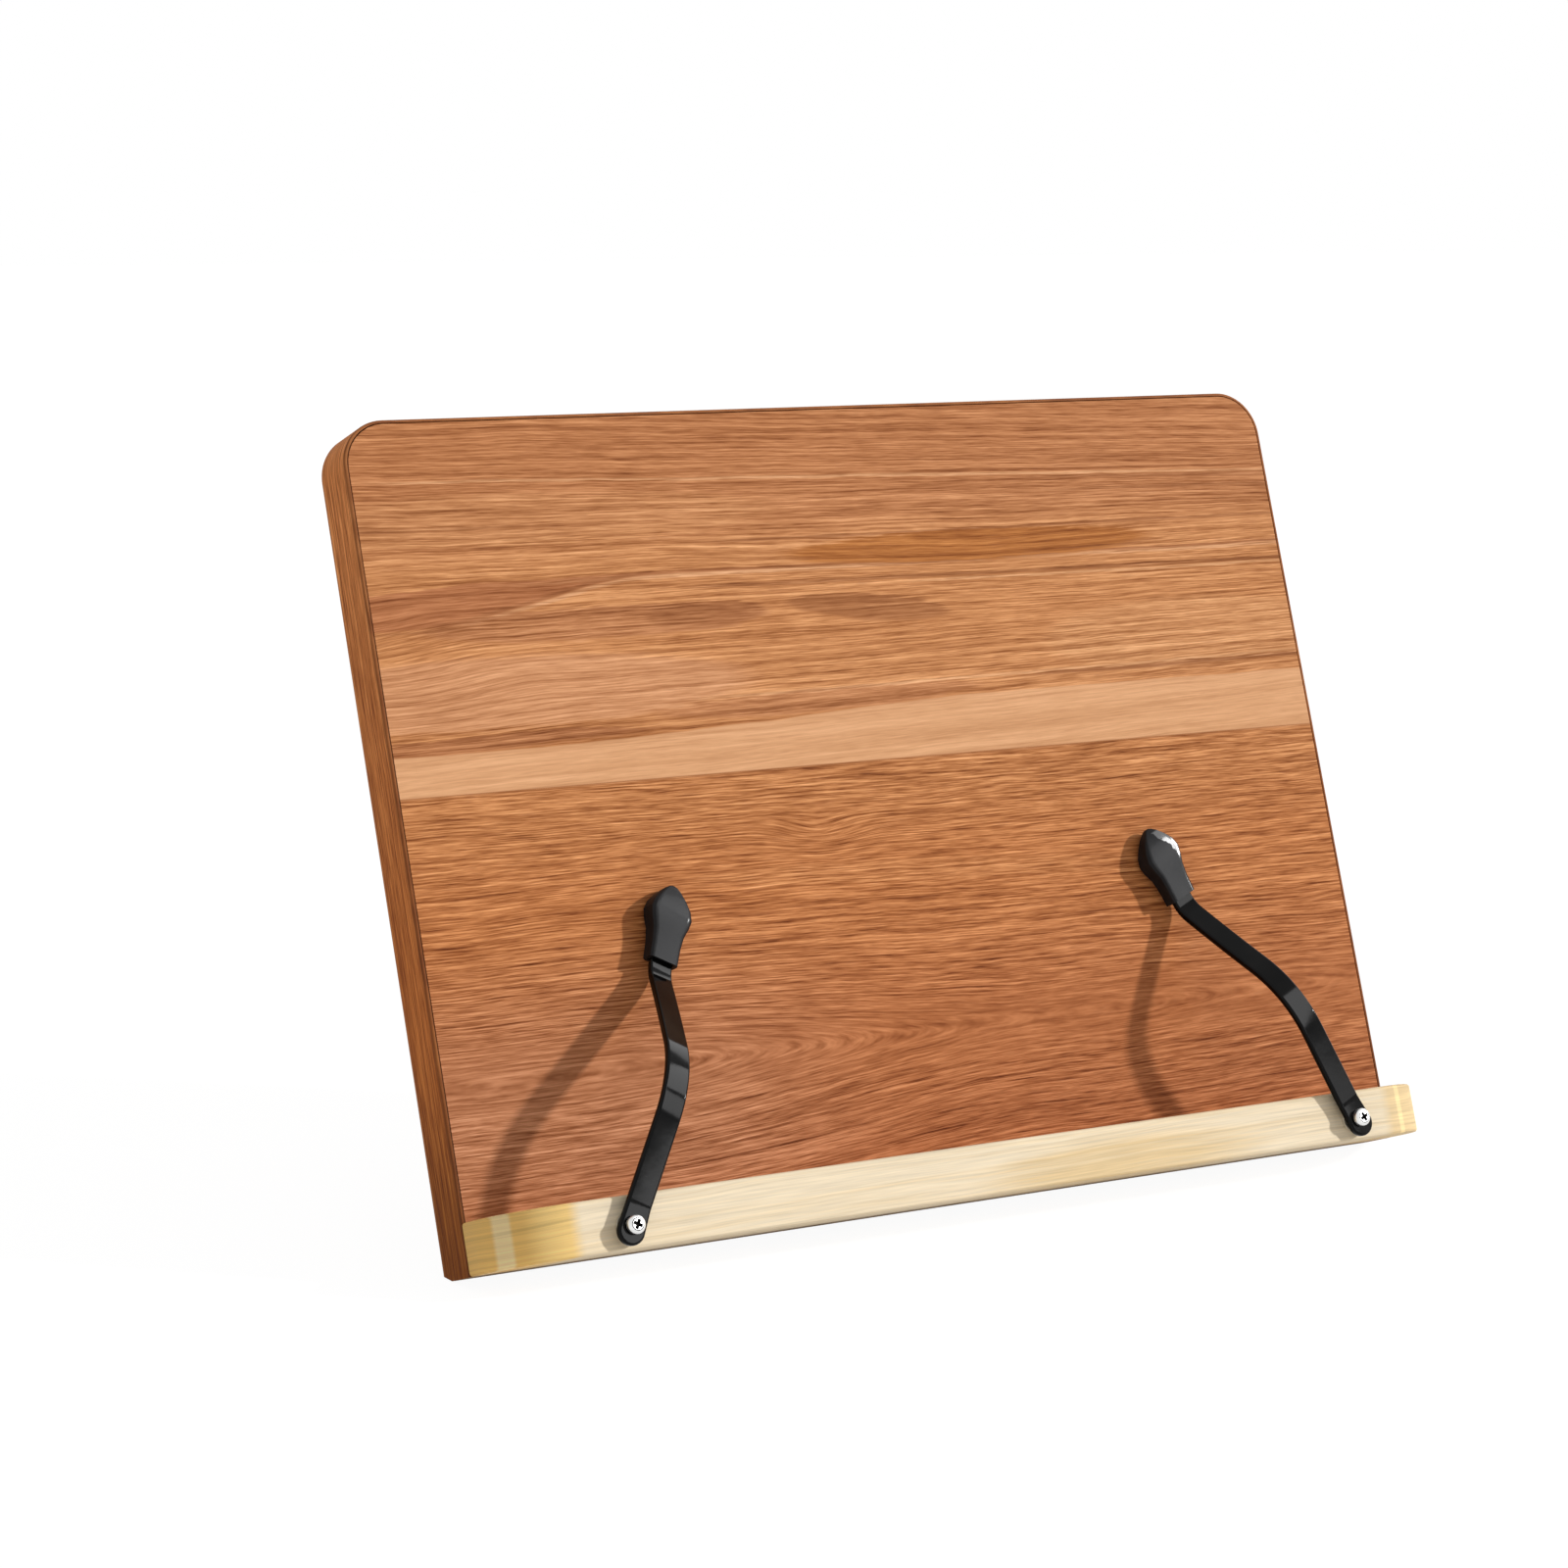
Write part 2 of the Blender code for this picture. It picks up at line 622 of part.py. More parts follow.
def tip_mesh():
    """The rubber cap: a leaf-shaped body with a pocket that the strip's end fills."""
    entry = bent_path((0.0, STRIP_HEIGHT), arm_moves())[-2]
    heading = entry[2]
    along = Vector((0.0, math.cos(heading), math.sin(heading)))
    across = Vector((0.0, -math.sin(heading), math.cos(heading)))
    origin = Vector((0.0, entry[0], entry[1]))
    power = 2.0 / TIP_SQUARENESS
    loops = []
    for reach, width_share, thickness_share in TIP_SHARES:
        loop = []
        for i in range(TIP_SIDES):
            angle = math.tau * i / TIP_SIDES
            cosine = math.cos(angle)
            sine = math.sin(angle)
            x = math.copysign(abs(cosine) ** power, cosine) * TIP_WIDTH * width_share / 2
            lift = math.copysign(abs(sine) ** power, sine) * TIP_THICKNESS * thickness_share / 2
            loop.append(origin + along * TIP_LENGTH * reach + Vector((x, 0.0, 0.0)) + across * lift)
        loops.append(loop)
    bm = bmesh.new()
    loft(bm, loops)
    blank = finish_mesh("clip_tip", bm)

    path = bent_path((0.0, STRIP_HEIGHT), arm_moves())
    share = entry[0] / path[-1][0]
    width = ARM_ROOT_WIDTH + (ARM_END_WIDTH - ARM_ROOT_WIDTH) * share
    pocket = []
    for reach in (-CUT_OVERRUN, ARM_END_LENGTH + SEAT_GAP):
        point = origin + along * reach
        station = (point.y, point.z, heading)
        lift = ARM_THICKNESS / 2 + SEAT_GAP
        pocket.append(strip_section(station, width / 2 + SEAT_GAP, lift, ARM_EDGE_BEVEL))
    bm = bmesh.new()
    loft(bm, pocket)
    return cut_once("clip_tip", blank, finish_mesh("tip_pocket", bm), 40.0)


def set_sideways(mesh, side):
    """Give a strip or its cap the slight turn in plan that brings the clip's end back upright."""
    run = ARM_SET_END - ARM_SET_START
    slope = math.tan(math.radians(ARM_SET_DEG))
    for vertex in mesh.vertices:
        bent = min(max(vertex.co.y - ARM_SET_START, 0.0), run)
        beyond = max(vertex.co.y - ARM_SET_END, 0.0)
        vertex.co.x += side * slope * (bent * bent / run / 2 + beyond)
    mesh.update()


def washer_mesh():
    """The washer between a clip arm and the ledge."""
    inner = CLIP_SCREW_SHANK / 2 + SEAT_GAP
    outer = WASHER_DIAMETER / 2
    low = SEAT_GAP
    high = SEAT_GAP + WASHER_THICKNESS
    bm = bmesh.new()
    turned(bm, ((inner, low), (outer, low), (outer, high), (inner, high)), ROUND_SIDES, closed=True)
    return finish_mesh("clip_washer", bm, 35.0)


def make_clips(board_frame, finishes):
    """Both page clips, each turning about its screw in the front of the ledge."""
    washer = washer_mesh()
    screw = pan_screw_mesh(
        "clip_screw", CLIP_SCREW_LENGTH, CLIP_SCREW_SHANK, CLIP_SCREW_HEAD, CLIP_SCREW_HEAD_HEIGHT
    )
    turns = (-math.radians(LEFT_CLIP_ANGLE_DEG), math.radians(RIGHT_CLIP_ANGLE_DEG))
    for side, x, turn in zip(("left", "right"), clip_places(), turns):
        arm = arm_mesh()
        tip = tip_mesh()
        for mesh in (arm, tip):
            set_sideways(mesh, math.copysign(1.0, turn))
        pivot = (x, CLIP_PIVOT_HEIGHT, LEDGE_DEPTH)
        frame = make_frame(side + "_clip_frame", board_frame, pivot, (0.0, 0.0, turn))
        add_object(side + "_clip_arm", arm, finishes["black_steel"], frame)
        add_object(side + "_clip_tip", tip, finishes["rubber"], frame)
        add_object(side + "_clip_washer", washer, finishes["steel"], board_frame, pivot)
        seat = (x, CLIP_PIVOT_HEIGHT, LEDGE_DEPTH + SCREW_SEAT_HEIGHT)
        add_object(side + "_clip_screw", screw, finishes["steel"], board_frame, seat, (0.0, 0.0, turn))


def leg_profile():
    """The leg seen from its side, with V notches down its rear face. It is cut off at the pads later."""
    length = HINGE_AXIS_HEIGHT / math.cos(LEG_TILT) + LEG_THICKNESS
    points = [(-LEG_TOP, LEG_INNER - LEG_EDGE_BEVEL), (-LEG_TOP, LEG_OUTER + LEG_EDGE_BEVEL)]
    points.append((-LEG_TOP - LEG_EDGE_BEVEL, LEG_OUTER))
    for i in reversed(range(NOTCH_COUNT)):
        middle = NOTCH_PITCH * i - LOWEST_NOTCH
        points.append((middle + NOTCH_DEPTH, LEG_OUTER))
        points.append((middle, LEG_OUTER + NOTCH_DEPTH))
        points.append((middle - NOTCH_DEPTH, LEG_OUTER))
    points += [(-length, LEG_OUTER), (-length, LEG_INNER), (-LEG_TOP - LEG_EDGE_BEVEL, LEG_INNER)]
    return points


def make_leg(leg_frame, finishes):
    """The rear leg, cut level at its foot, with pilot holes for the hinge screws."""
    profile = leg_profile()
    bm = bmesh.new()
    loft(bm, [[(x, y, z) for y, z in profile] for x in (-LEG_WIDTH / 2, LEG_WIDTH / 2)])
    up = Vector((0.0, math.cos(LEG_TILT), -math.sin(LEG_TILT)))
    trim_below(bm, up, PAD_THICKNESS + SEAT_GAP - HINGE_AXIS_HEIGHT)
    leg = add_object("rear_leg", finish_mesh("rear_leg", bm), finishes["foil"], leg_frame)

    bm = bmesh.new()
    radius = HINGE_SCREW_SHANK / 2 + SEAT_GAP
    low = LEG_INNER - HINGE_SCREW_LENGTH + LEAF_THICKNESS
    high = LEG_INNER + CUT_OVERRUN
    for x in hinge_places():
        for offset in hinge_screw_offsets():
            centre = Vector((x + offset, -leaf_screw_reach(), 0.0))
            turned(bm, ((0.0, low), (radius, low), (radius, high), (0.0, high)), SHANK_SIDES, centre)
    add_cutter(leg, "leg_holes", finish_mesh("leg_holes", bm))


def make_leg_pads(leg_frame, finishes):
    """Two rubber pads under the leg's level foot."""
    bm = bmesh.new()
    radius = PAD_DIAMETER / 2
    profile = ((0.0, -PAD_THICKNESS), (radius, -PAD_THICKNESS), (radius, 0.0), (0.0, 0.0))
    turned(bm, profile, ROUND_SIDES)
    mesh = finish_mesh("leg_pad", bm, 35.0)
    middle = (LEG_INNER + LEG_OUTER) / 2
    drop = HINGE_AXIS_HEIGHT - PAD_THICKNESS - middle * math.sin(LEG_TILT)
    y = -drop / math.cos(LEG_TILT)
    turn = (-LEG_TILT - math.pi / 2, 0.0, 0.0)
    for side, x in (("left", PAD_INSET - LEG_WIDTH / 2), ("right", LEG_WIDTH / 2 - PAD_INSET)):
        add_object("leg_pad_" + side, mesh, finishes["rubber"], leg_frame, (x, y, middle), turn)


def leaf_blank_mesh(name):
    """A leaf rolled round the pin along its whole width, with the flat side towards +Y."""
    flat = LEG_TOP + LEAF_LENGTH
    end = 90.0 + HINGE_CURL_DEG
    outline = [(flat, KNUCKLE_RADIUS)]
    outline += arc((0.0, 0.0), KNUCKLE_RADIUS, 90.0, end, ROUND_SIDES)
    outline += arc((0.0, 0.0), KNUCKLE_BORE, end, 90.0, ROUND_SIDES)
    outline.append((flat, KNUCKLE_BORE))
    bm = bmesh.new()
    loft(bm, [[(x, y, z) for y, z in outline] for x in (-HINGE_WIDTH / 2, HINGE_WIDTH / 2)])
    return finish_mesh(name, bm)


def leaf_cutter_mesh(name, gaps, head_face, inward):
    """The gaps between a leaf's knuckles, and its two holes, widened at the face that the heads lie in."""
    bm = bmesh.new()
    reach = KNUCKLE_RADIUS + CUT_OVERRUN
    for low, high in gaps:
        corners = ((-reach, -reach), (LEG_TOP, -reach), (LEG_TOP, reach), (-reach, reach))
        loft(bm, [[(x, y, z) for y, z in corners] for x in (low, high)])
    shank = HINGE_SCREW_SHANK / 2 + SEAT_GAP
    head = HINGE_SCREW_HEAD / 2 + SEAT_GAP
    cone = (HINGE_SCREW_HEAD - HINGE_SCREW_SHANK) * COUNTERSINK_DEPTH_SHARE
    steps = (
        (0.0, -CUT_OVERRUN),
        (head, -CUT_OVERRUN),
        (head, 0.0),
        (shank, cone),
        (shank, LEAF_THICKNESS + CUT_OVERRUN),
        (0.0, LEAF_THICKNESS + CUT_OVERRUN),
    )
    profile = [(radius, head_face + depth * inward) for radius, depth in steps]
    for offset in hinge_screw_offsets():
        turned(bm, profile, ROUND_SIDES, Vector((offset, leaf_screw_reach(), 0.0)))
    return finish_mesh(name, bm)


def make_hinges(board_frame, leg_frame, axis, finishes):
    """Two butt hinges: a leaf on the board, a leaf on the leg, a pin and four screws each."""
    knuckle = HINGE_WIDTH / KNUCKLE_COUNT
    half = knuckle / 2
    far = HINGE_WIDTH / 2 + CUT_OVERRUN
    board_gaps = ((-half - SEAT_GAP, half + SEAT_GAP),)
    leg_gaps = ((-far, -half), (half, far))
    cuts = leaf_cutter_mesh("board_leaf_cuts", board_gaps, KNUCKLE_BORE, 1.0)
    board_leaf = cut_once("board_leaf", leaf_blank_mesh("board_leaf"), cuts, 35.0)
    cuts = leaf_cutter_mesh("leg_leaf_cuts", leg_gaps, KNUCKLE_RADIUS, -1.0)
    leg_leaf = cut_once("leg_leaf", leaf_blank_mesh("leg_leaf"), cuts, 35.0)
    pin = pin_mesh()
    screw = flat_screw_mesh("hinge_screw", HINGE_SCREW_LENGTH, HINGE_SCREW_SHANK, HINGE_SCREW_HEAD)
    outward = (0.0, math.pi, 0.0)
    steel = finishes["steel"]
    for side, x in zip(("left", "right"), hinge_places()):
        label = side + "_hinge_"
        add_object(label + "board_leaf", board_leaf, steel, board_frame, (x, axis[1], axis[2]))
        add_object(label + "leg_leaf", leg_leaf, steel, leg_frame, (x, 0.0, 0.0), (0.0, 0.0, math.pi))
        add_object(label + "pin", pin, steel, board_frame, (x, axis[1], axis[2]), (0.0, math.pi / 2, 0.0))
        for number, offset in enumerate(hinge_screw_offsets(), 1):
            place = (x + offset, axis[1] + leaf_screw_reach(), axis[2] + KNUCKLE_BORE)
            add_object(label + f"board_screw_{number}", screw, steel, board_frame, place, outward)
            place = (x + offset, -leaf_screw_reach(), KNUCKLE_RADIUS)
            add_object(label + f"leg_screw_{number}", screw, steel, leg_frame, place)


def pin_mesh():
    """A hinge pin with chamfered ends."""
    radius = PIN_DIAMETER / 2
    chamfer = radius * PIN_END_SHARE
    half = HINGE_WIDTH / 2
    profile = (
        (0.0, -half),
        (radius - chamfer, -half),
        (radius, chamfer - half),
        (radius, half - chamfer),
        (radius - chamfer, half),
        (0.0, half),
    )
    bm = bmesh.new()
    turned(bm, profile, ROUND_SIDES)
    return finish_mesh("hinge_pin", bm, 35.0)


def stay_geometry():
    """The stay's arm length and its angle to the board when its bar lies in the lowest notch."""
    bar_height = LEG_OUTER + NOTCH_DEPTH - (WIRE_RADIUS + SEAT_GAP) * NOTCH_SLANT
    down = LOWEST_NOTCH * math.cos(LEG_OPEN) + bar_height * math.sin(LEG_OPEN)
    out = LOWEST_NOTCH * math.sin(LEG_OPEN) - bar_height * math.cos(LEG_OPEN) + HINGE_STANDOFF
    rise = STAY_DROP - down
    reach = out - STAY_STANDOFF
    return math.hypot(rise, reach), math.atan2(reach, rise)


def make_stay(stay_frame, arm_length, finishes):
    """The wire stay: a U of round wire with its ends turned outwards as pivots."""
    outer = STAY_HALF_WIDTH + STAY_STUB_LENGTH
    lower = WIRE_BEND_RADIUS
    upper = arm_length - WIRE_BEND_RADIUS
    inside = STAY_HALF_WIDTH - WIRE_BEND_RADIUS
    outside = STAY_HALF_WIDTH + WIRE_BEND_RADIUS
    points = [(-outer, 0.0)]
    points += arc((-outside, lower), WIRE_BEND_RADIUS, -90.0, 0.0, BEND_STEPS)
    points += arc((-inside, upper), WIRE_BEND_RADIUS, 180.0, 90.0, BEND_STEPS)
    points += arc((inside, upper), WIRE_BEND_RADIUS, 90.0, 0.0, BEND_STEPS)
    points += arc((outside, lower), WIRE_BEND_RADIUS, 180.0, 270.0, BEND_STEPS)
    points.append((outer, 0.0))
    curve = bpy.data.curves.new("wire_stay", "CURVE")
    curve.dimensions = "3D"
    curve.bevel_depth = WIRE_RADIUS
    curve.bevel_resolution = 2
    curve.use_fill_caps = True
    spline = curve.splines.new("POLY")
    spline.points.add(len(points) - 1)
    for control, (x, y) in zip(spline.points, points):
        control.co = (x, y, 0.0, 1.0)
    spline.use_smooth = True
    curve.materials.append(finishes["black_steel"])
    stay = bpy.data.objects.new("wire_stay", curve)
    bpy.context.scene.collection.objects.link(stay)
    stay.parent = stay_frame


def saddle_mesh():
    """A sheet-metal saddle that holds a stub of the stay against the board, with two screw holes."""
    inner = WIRE_RADIUS + SEAT_GAP
    outer = inner + SADDLE_THICKNESS
    end = outer + SADDLE_FLANGE
    low = SEAT_GAP
    high = SEAT_GAP + SADDLE_THICKNESS
    outline = [(-end, low), (-end, high), (-outer, high)]
    outline += arc((0.0, STAY_STANDOFF), outer, 180.0, 0.0, ROUND_SIDES // 2)
    outline += [(outer, high), (end, high), (end, low), (inner, low)]
    outline += arc((0.0, STAY_STANDOFF), inner, 0.0, 180.0, ROUND_SIDES // 2)
    outline.append((-inner, low))
    half = SADDLE_WIDTH / 2
    bm = bmesh.new()
    loft(bm, [[(x, y, z) for y, z in outline] for x in (-half, half)])
    blank = finish_mesh("saddle", bm)
    bm = bmesh.new()
    radius = SADDLE_SCREW_SHANK / 2 + SEAT_GAP
    top = high + CUT_OVERRUN
    for y in saddle_screw_offsets():
        profile = ((0.0, -CUT_OVERRUN), (radius, -CUT_OVERRUN), (radius, top), (0.0, top))
        turned(bm, profile, SHANK_SIDES, Vector((0.0, y, 0.0)))
    return cut_once("saddle", blank, finish_mesh("saddle_holes", bm), 35.0)


def make_saddles(back, finishes):
    """Both saddles on the board's back, with an upper and a lower screw each."""
    saddle = saddle_mesh()
    screw = pan_screw_mesh(
        "saddle_screw", SADDLE_SCREW_LENGTH, SADDLE_SCREW_SHANK, SADDLE_SCREW_HEAD, SADDLE_SCREW_HEAD_HEIGHT
    )
    seat = SEAT_GAP + SADDLE_THICKNESS + SEAT_GAP
    height = stay_axis_height()
    for side, x in zip(("right", "left"), saddle_places()):
        add_object(side + "_saddle", saddle, finishes["steel"], back, (x, height, 0.0))
        for level, offset in zip(("lower", "upper"), saddle_screw_offsets()):
            name = f"{side}_saddle_screw_{level}"
            add_object(name, screw, finishes["steel"], back, (x, height + offset, seat))


def centre_on_origin(root):
    """Move the stand so that the origin is under the middle of its overall box."""
    bpy.context.view_layer.update()
    graph = bpy.context.evaluated_depsgraph_get()
    depths = []
    for item in bpy.data.objects:
        if item.type not in {"MESH", "CURVE"} or item.hide_render:
            continue
        solid = item.evaluated_get(graph)
        mesh = solid.to_mesh()
        depths += [(solid.matrix_world @ vertex.co).y for vertex in mesh.vertices]
        solid.to_mesh_clear()
    root.location.y -= (min(depths) + max(depths)) / 2


def main():
    """Build the whole stand."""
    clear_scene()
    finishes = make_finishes()
    root = make_frame("stand_frame", None)
    tilt = (math.pi / 2 - LEAN, 0.0, 0.0)
    board_frame = make_frame("board_frame", root, (0.0, 0.0, BOARD_BASE), tilt)
    back = make_frame("board_back_frame", board_frame, (0.0, 0.0, -BOARD_THICKNESS), (0.0, math.pi, 0.0))
    make_board(board_frame, finishes)
    make_edge_band(board_frame, finishes)
    make_ledge(board_frame, finishes)
    make_ledge_screws(back, finishes)
    make_clips(board_frame, finishes)

    axis = (0.0, HINGE_HEIGHT, -BOARD_THICKNESS - HINGE_STANDOFF)
    leg_frame = make_frame("leg_frame", board_frame, axis, (LEG_OPEN, 0.0, 0.0))
    make_leg(leg_frame, finishes)
    make_leg_pads(leg_frame, finishes)
    make_hinges(board_frame, leg_frame, axis, finishes)

    arm_length, stay_angle = stay_geometry()
    place = (0.0, stay_axis_height(), -BOARD_THICKNESS - STAY_STANDOFF)
    stay_frame = make_frame("stay_frame", board_frame, place, (-stay_angle, 0.0, 0.0))
    make_stay(stay_frame, arm_length, finishes)
    make_saddles(back, finishes)
    centre_on_origin(root)


main()
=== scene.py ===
"""Wooden book stand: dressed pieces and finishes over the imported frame, floor, lamps and camera."""
import json
from functools import cache
from math import atan2, copysign, cos, hypot, pi, radians, sin, tan

import bmesh
import bpy
from bpy.props import FloatProperty, FloatVectorProperty, IntProperty, PointerProperty
from mathutils import Matrix, Vector

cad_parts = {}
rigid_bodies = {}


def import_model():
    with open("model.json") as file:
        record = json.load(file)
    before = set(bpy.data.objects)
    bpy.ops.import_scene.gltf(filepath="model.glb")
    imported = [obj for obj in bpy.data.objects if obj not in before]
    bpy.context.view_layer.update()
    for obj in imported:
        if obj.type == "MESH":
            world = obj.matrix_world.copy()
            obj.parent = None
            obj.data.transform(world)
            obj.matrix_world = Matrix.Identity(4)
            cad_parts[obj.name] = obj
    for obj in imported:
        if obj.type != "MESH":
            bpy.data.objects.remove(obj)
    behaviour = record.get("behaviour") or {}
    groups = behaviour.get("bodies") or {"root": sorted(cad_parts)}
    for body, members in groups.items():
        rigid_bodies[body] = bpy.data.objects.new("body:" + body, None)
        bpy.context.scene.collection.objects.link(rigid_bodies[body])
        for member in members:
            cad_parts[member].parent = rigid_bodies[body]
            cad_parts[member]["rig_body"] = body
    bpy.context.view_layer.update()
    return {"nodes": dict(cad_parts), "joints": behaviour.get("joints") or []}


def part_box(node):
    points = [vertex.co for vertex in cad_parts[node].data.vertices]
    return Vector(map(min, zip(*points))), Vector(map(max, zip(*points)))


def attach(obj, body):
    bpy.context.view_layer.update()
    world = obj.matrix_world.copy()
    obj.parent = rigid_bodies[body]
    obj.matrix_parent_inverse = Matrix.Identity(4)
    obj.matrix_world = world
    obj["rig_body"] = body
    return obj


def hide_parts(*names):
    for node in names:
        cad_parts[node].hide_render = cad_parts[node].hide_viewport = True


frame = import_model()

bl_info = {
    "name": "Book stand",
    "version": (1, 0, 0),
    "blender": (4, 5, 0),
    "location": "View3D > Sidebar > Book stand",
    "description": "Dresses a leaning board with its ledge, page clips, leg and wire stay",
    "category": "Add Mesh",
}

JOINT_PLACES = {joint["name"]: Vector(joint["pos_m"]) for joint in frame["joints"]}
SIDES = ("left", "right")
X, Y, Z = Vector((1.0, 0.0, 0.0)), Vector((0.0, 1.0, 0.0)), Vector((0.0, 0.0, 1.0))
RIGHT_ANGLE = pi / 2
MM = 1000.0  # millimetres in a metre
NEAR = 1e-5  # metres within which two places are one
ALIKE = 0.99  # cosine within which two directions are one
BAND_STEPS, WIRE_STEPS = 16, 12  # sections in each bend of the edge band and of the wire
WIRE_SIDES, SCREW_SIDES = 24, 48  # sides of a round wire and of a round screw head
WIRE_EASE = 0.12  # rounding of the wire's ends, as a share of its diameter


def size(name, millimetres, description):
    """A length that a user may change: given here in millimetres, kept in metres."""
    return FloatProperty(
        name=name,
        description=description,
        default=millimetres / MM,
        min=0.0,
        unit="LENGTH",
        precision=4,
    )


def turn(name, degrees, description):
    """An angle that a user may change."""
    return FloatProperty(
        name=name, description=description, default=radians(degrees), subtype="ANGLE"
    )


def colour(name, default, description):
    """A linear colour that a user may change."""
    return FloatVectorProperty(
        name=name,
        description=description,
        default=default,
        subtype="COLOR",
        size=3,
        min=0.0,
        max=1.0,
    )


class BookStandBoardSizes(bpy.types.PropertyGroup):
    """Sizes of the board, its edge band and its leg"""
    width: size("Width", 280.0, "Overall width of the board")
    height: size("Height", 212.0, "Height of the board up its face")
    thickness: size("Thickness", 15.0, "Thickness of the board")
    corner_radius: size("Corner radius", 12.0, "Radius of the two top corners")
    lean: turn("Lean", 18.9, "How far the board leans back")
    foot_width: size("Foot width", 4.0, "Width of the level cut that the board stands on")
    band_thickness: size("Band thickness", 0.8, "Thickness of the edge band")
    band_round: size("Band rounding", 0.6, "Radius along the band's outer edges")
    seat_gap: size("Seat gap", 0.3, "Gap between a piece and its seat")
    leg_width: size("Leg width", 100.0, "Width of the rear leg")
    leg_thickness: size("Leg thickness", 12.0, "Thickness of the rear leg")
    leg_face: size("Leg face", 1.0, "From the hinge axis to the leg's face towards the board")
    leg_open: turn("Leg opening", 36.0, "Angle between the board and its leg")
    leg_round: size("Leg rounding", 0.4, "Radius along the leg's edges")
    pad_round: size("Pad rounding", 0.3, "Radius along the edges of the leg's pads")


class BookStandLedgeSizes(bpy.types.PropertyGroup):
    """Sizes of the ledge"""
    depth: size("Depth", 25.0, "How far the ledge stands out from the board")
    height: size("Height", 13.0, "Height of the ledge")
    corner_radius: size("Corner radius", 20.0, "Radius of the two front corners")
    edge_round: size("Edge rounding", 0.8, "Radius along the ledge's long edges")


class BookStandClipSizes(bpy.types.PropertyGroup):
    """Sizes of the page clips"""
    pivot_height: size("Pivot height", 5.5, "Height of the clip's screw above the board's foot")
    left_turn: turn("Left clip", 28.0, "How far the left clip leans towards the middle")
    right_turn: turn("Right clip", 24.1, "How far the right clip leans towards the middle")
    strip_height: size("Strip height", 2.4, "Middle of the strip above the ledge's front")
    thickness: size("Thickness", 2.0, "Thickness of the steel strip")
    edge_round: size("Edge rounding", 0.7, "Radius along the strip's edges")
    eye_width: size("Eye width", 7.2, "Width of the strip round its screw")
    root_width: size("Root width", 6.6, "Width of the strip above its eye")
    end_width: size("End width", 6.2, "Width of the strip at its end")
    tail: size("Tail", 5.0, "Length of the strip below its screw")
    flat: size("Flat", 4.5, "Length of the flat above the screw")
    kick_radius: size("Kick radius", 15.0, "Radius of the first bend")
    kick: turn("Kick", 5.5, "First bend, away from the board")
    rise: size("Rise", 21.0, "Straight length after the first bend")
    crown_radius: size("Crown radius", 27.0, "Radius of the bend back to the board")
    drop: turn("Drop", 41.5, "How steeply the strip falls to the board")
    foot_radius: size("Foot radius", 9.0, "Radius of the last bend")
    foot: turn("Foot", 4.0, "Slope of the strip's end")
    end_length: size("End length", 12.0, "Length of the strip inside its cap")
    set_start: size("Set start", 27.0, "Where the sideways bend starts")
    set_end: size("Set end", 69.0, "Where the sideways bend ends")
    set_turn: turn("Set", 6.0, "Sideways bend of the strip")
    tip_length: size("Cap length", 20.3, "Length of the rubber cap")
    tip_width: size("Cap width", 12.0, "Width of the rubber cap")
    tip_thickness: size("Cap thickness", 6.0, "Thickness of the rubber cap")
    screw_head: size("Screw head", 4.7, "Diameter of the clip screw's head")
    screw_head_height: size("Screw head height", 1.8, "Height of the clip screw's head")
    screw_shank: size("Screw shank", 3.0, "Diameter of the clip screw's shank")
    screw_length: size("Screw length", 14.5, "Length of the clip screw under its head")
    bend_steps: IntProperty(
        name="Bend steps", description="Sections in each bend", default=14, min=4
    )


class BookStandStaySizes(bpy.types.PropertyGroup):
    """Sizes of the wire stay"""
    wire: size("Wire", 3.0, "Diameter of the wire")
    half_width: size("Half width", 55.0, "From the middle of the stay to its side wires")
    bend_radius: size("Bend radius", 5.0, "Radius of the bends at the wire's middle")
    stub: size("Stub", 18.0, "Length of the ends that turn in the saddles")


class BookStandColours(bpy.types.PropertyGroup):
    """Colours of the finishes"""
    foil_light: colour("Foil, light", (0.66, 0.31, 0.145), "Rear rim of the edge band")
    foil_mid: colour("Foil, middle", (0.50, 0.20, 0.080), "Ground of the leg's foil")
    foil_dark: colour("Foil, dark", (0.36, 0.125, 0.045), "Pores of the wood foil")
    band_top: colour("Edge band, top", (0.68, 0.230, 0.062), "Edge band along the board's top")
    band: colour("Edge band", (0.55, 0.160, 0.032), "Edge band along the board's sides")
    # Painted shade in part: the foot's darker colour stands in partly for shade near the table,
    # partly for a deeper tone
    band_foot_shaded: colour("Edge band, foot", (0.31, 0.088, 0.012), "Edge band near the board's foot")
    band_seam: colour("Band seam", (0.17, 0.060, 0.022), "Dark line between the band and the face")
    core: colour("Core", (0.50, 0.34, 0.20), "Fibreboard core where it is cut")
    pine_light: colour("Pine, light", (0.90, 0.755, 0.535), "Pale growth of the pine ledge")
    pine_dark: colour("Pine, dark", (0.80, 0.59, 0.31), "Late growth of the pine ledge")
    pine_turn: colour("Pine, turned", (0.95, 0.645, 0.233), "Where the left corner starts to turn")
    pine_end: colour("Pine, ends", (0.93, 0.57, 0.17), "End grain at the ledge's corners")
    # Painted highlight: the light stripes at the ledge's round corners stand in for light on them
    pine_highlight: colour("Pine, gleam", (1.0, 0.76, 0.38), "Polished stripes at the ledge's corners")
    paint: colour("Paint", (0.0012, 0.0012, 0.0014), "Black paint on the clip arms")
    rubber: colour("Rubber", (0.009, 0.009, 0.010), "Black rubber of caps and pads")
    steel: colour("Steel", (0.80, 0.80, 0.79), "Bright plated steel")


def sizes(group):
    """One of the stand's groups of sizes or colours."""
    return getattr(bpy.context.scene, "book_stand_" + group)


def tone(name):
    """A colour from the panel."""
    return tuple(getattr(sizes("colours"), name))


# Places


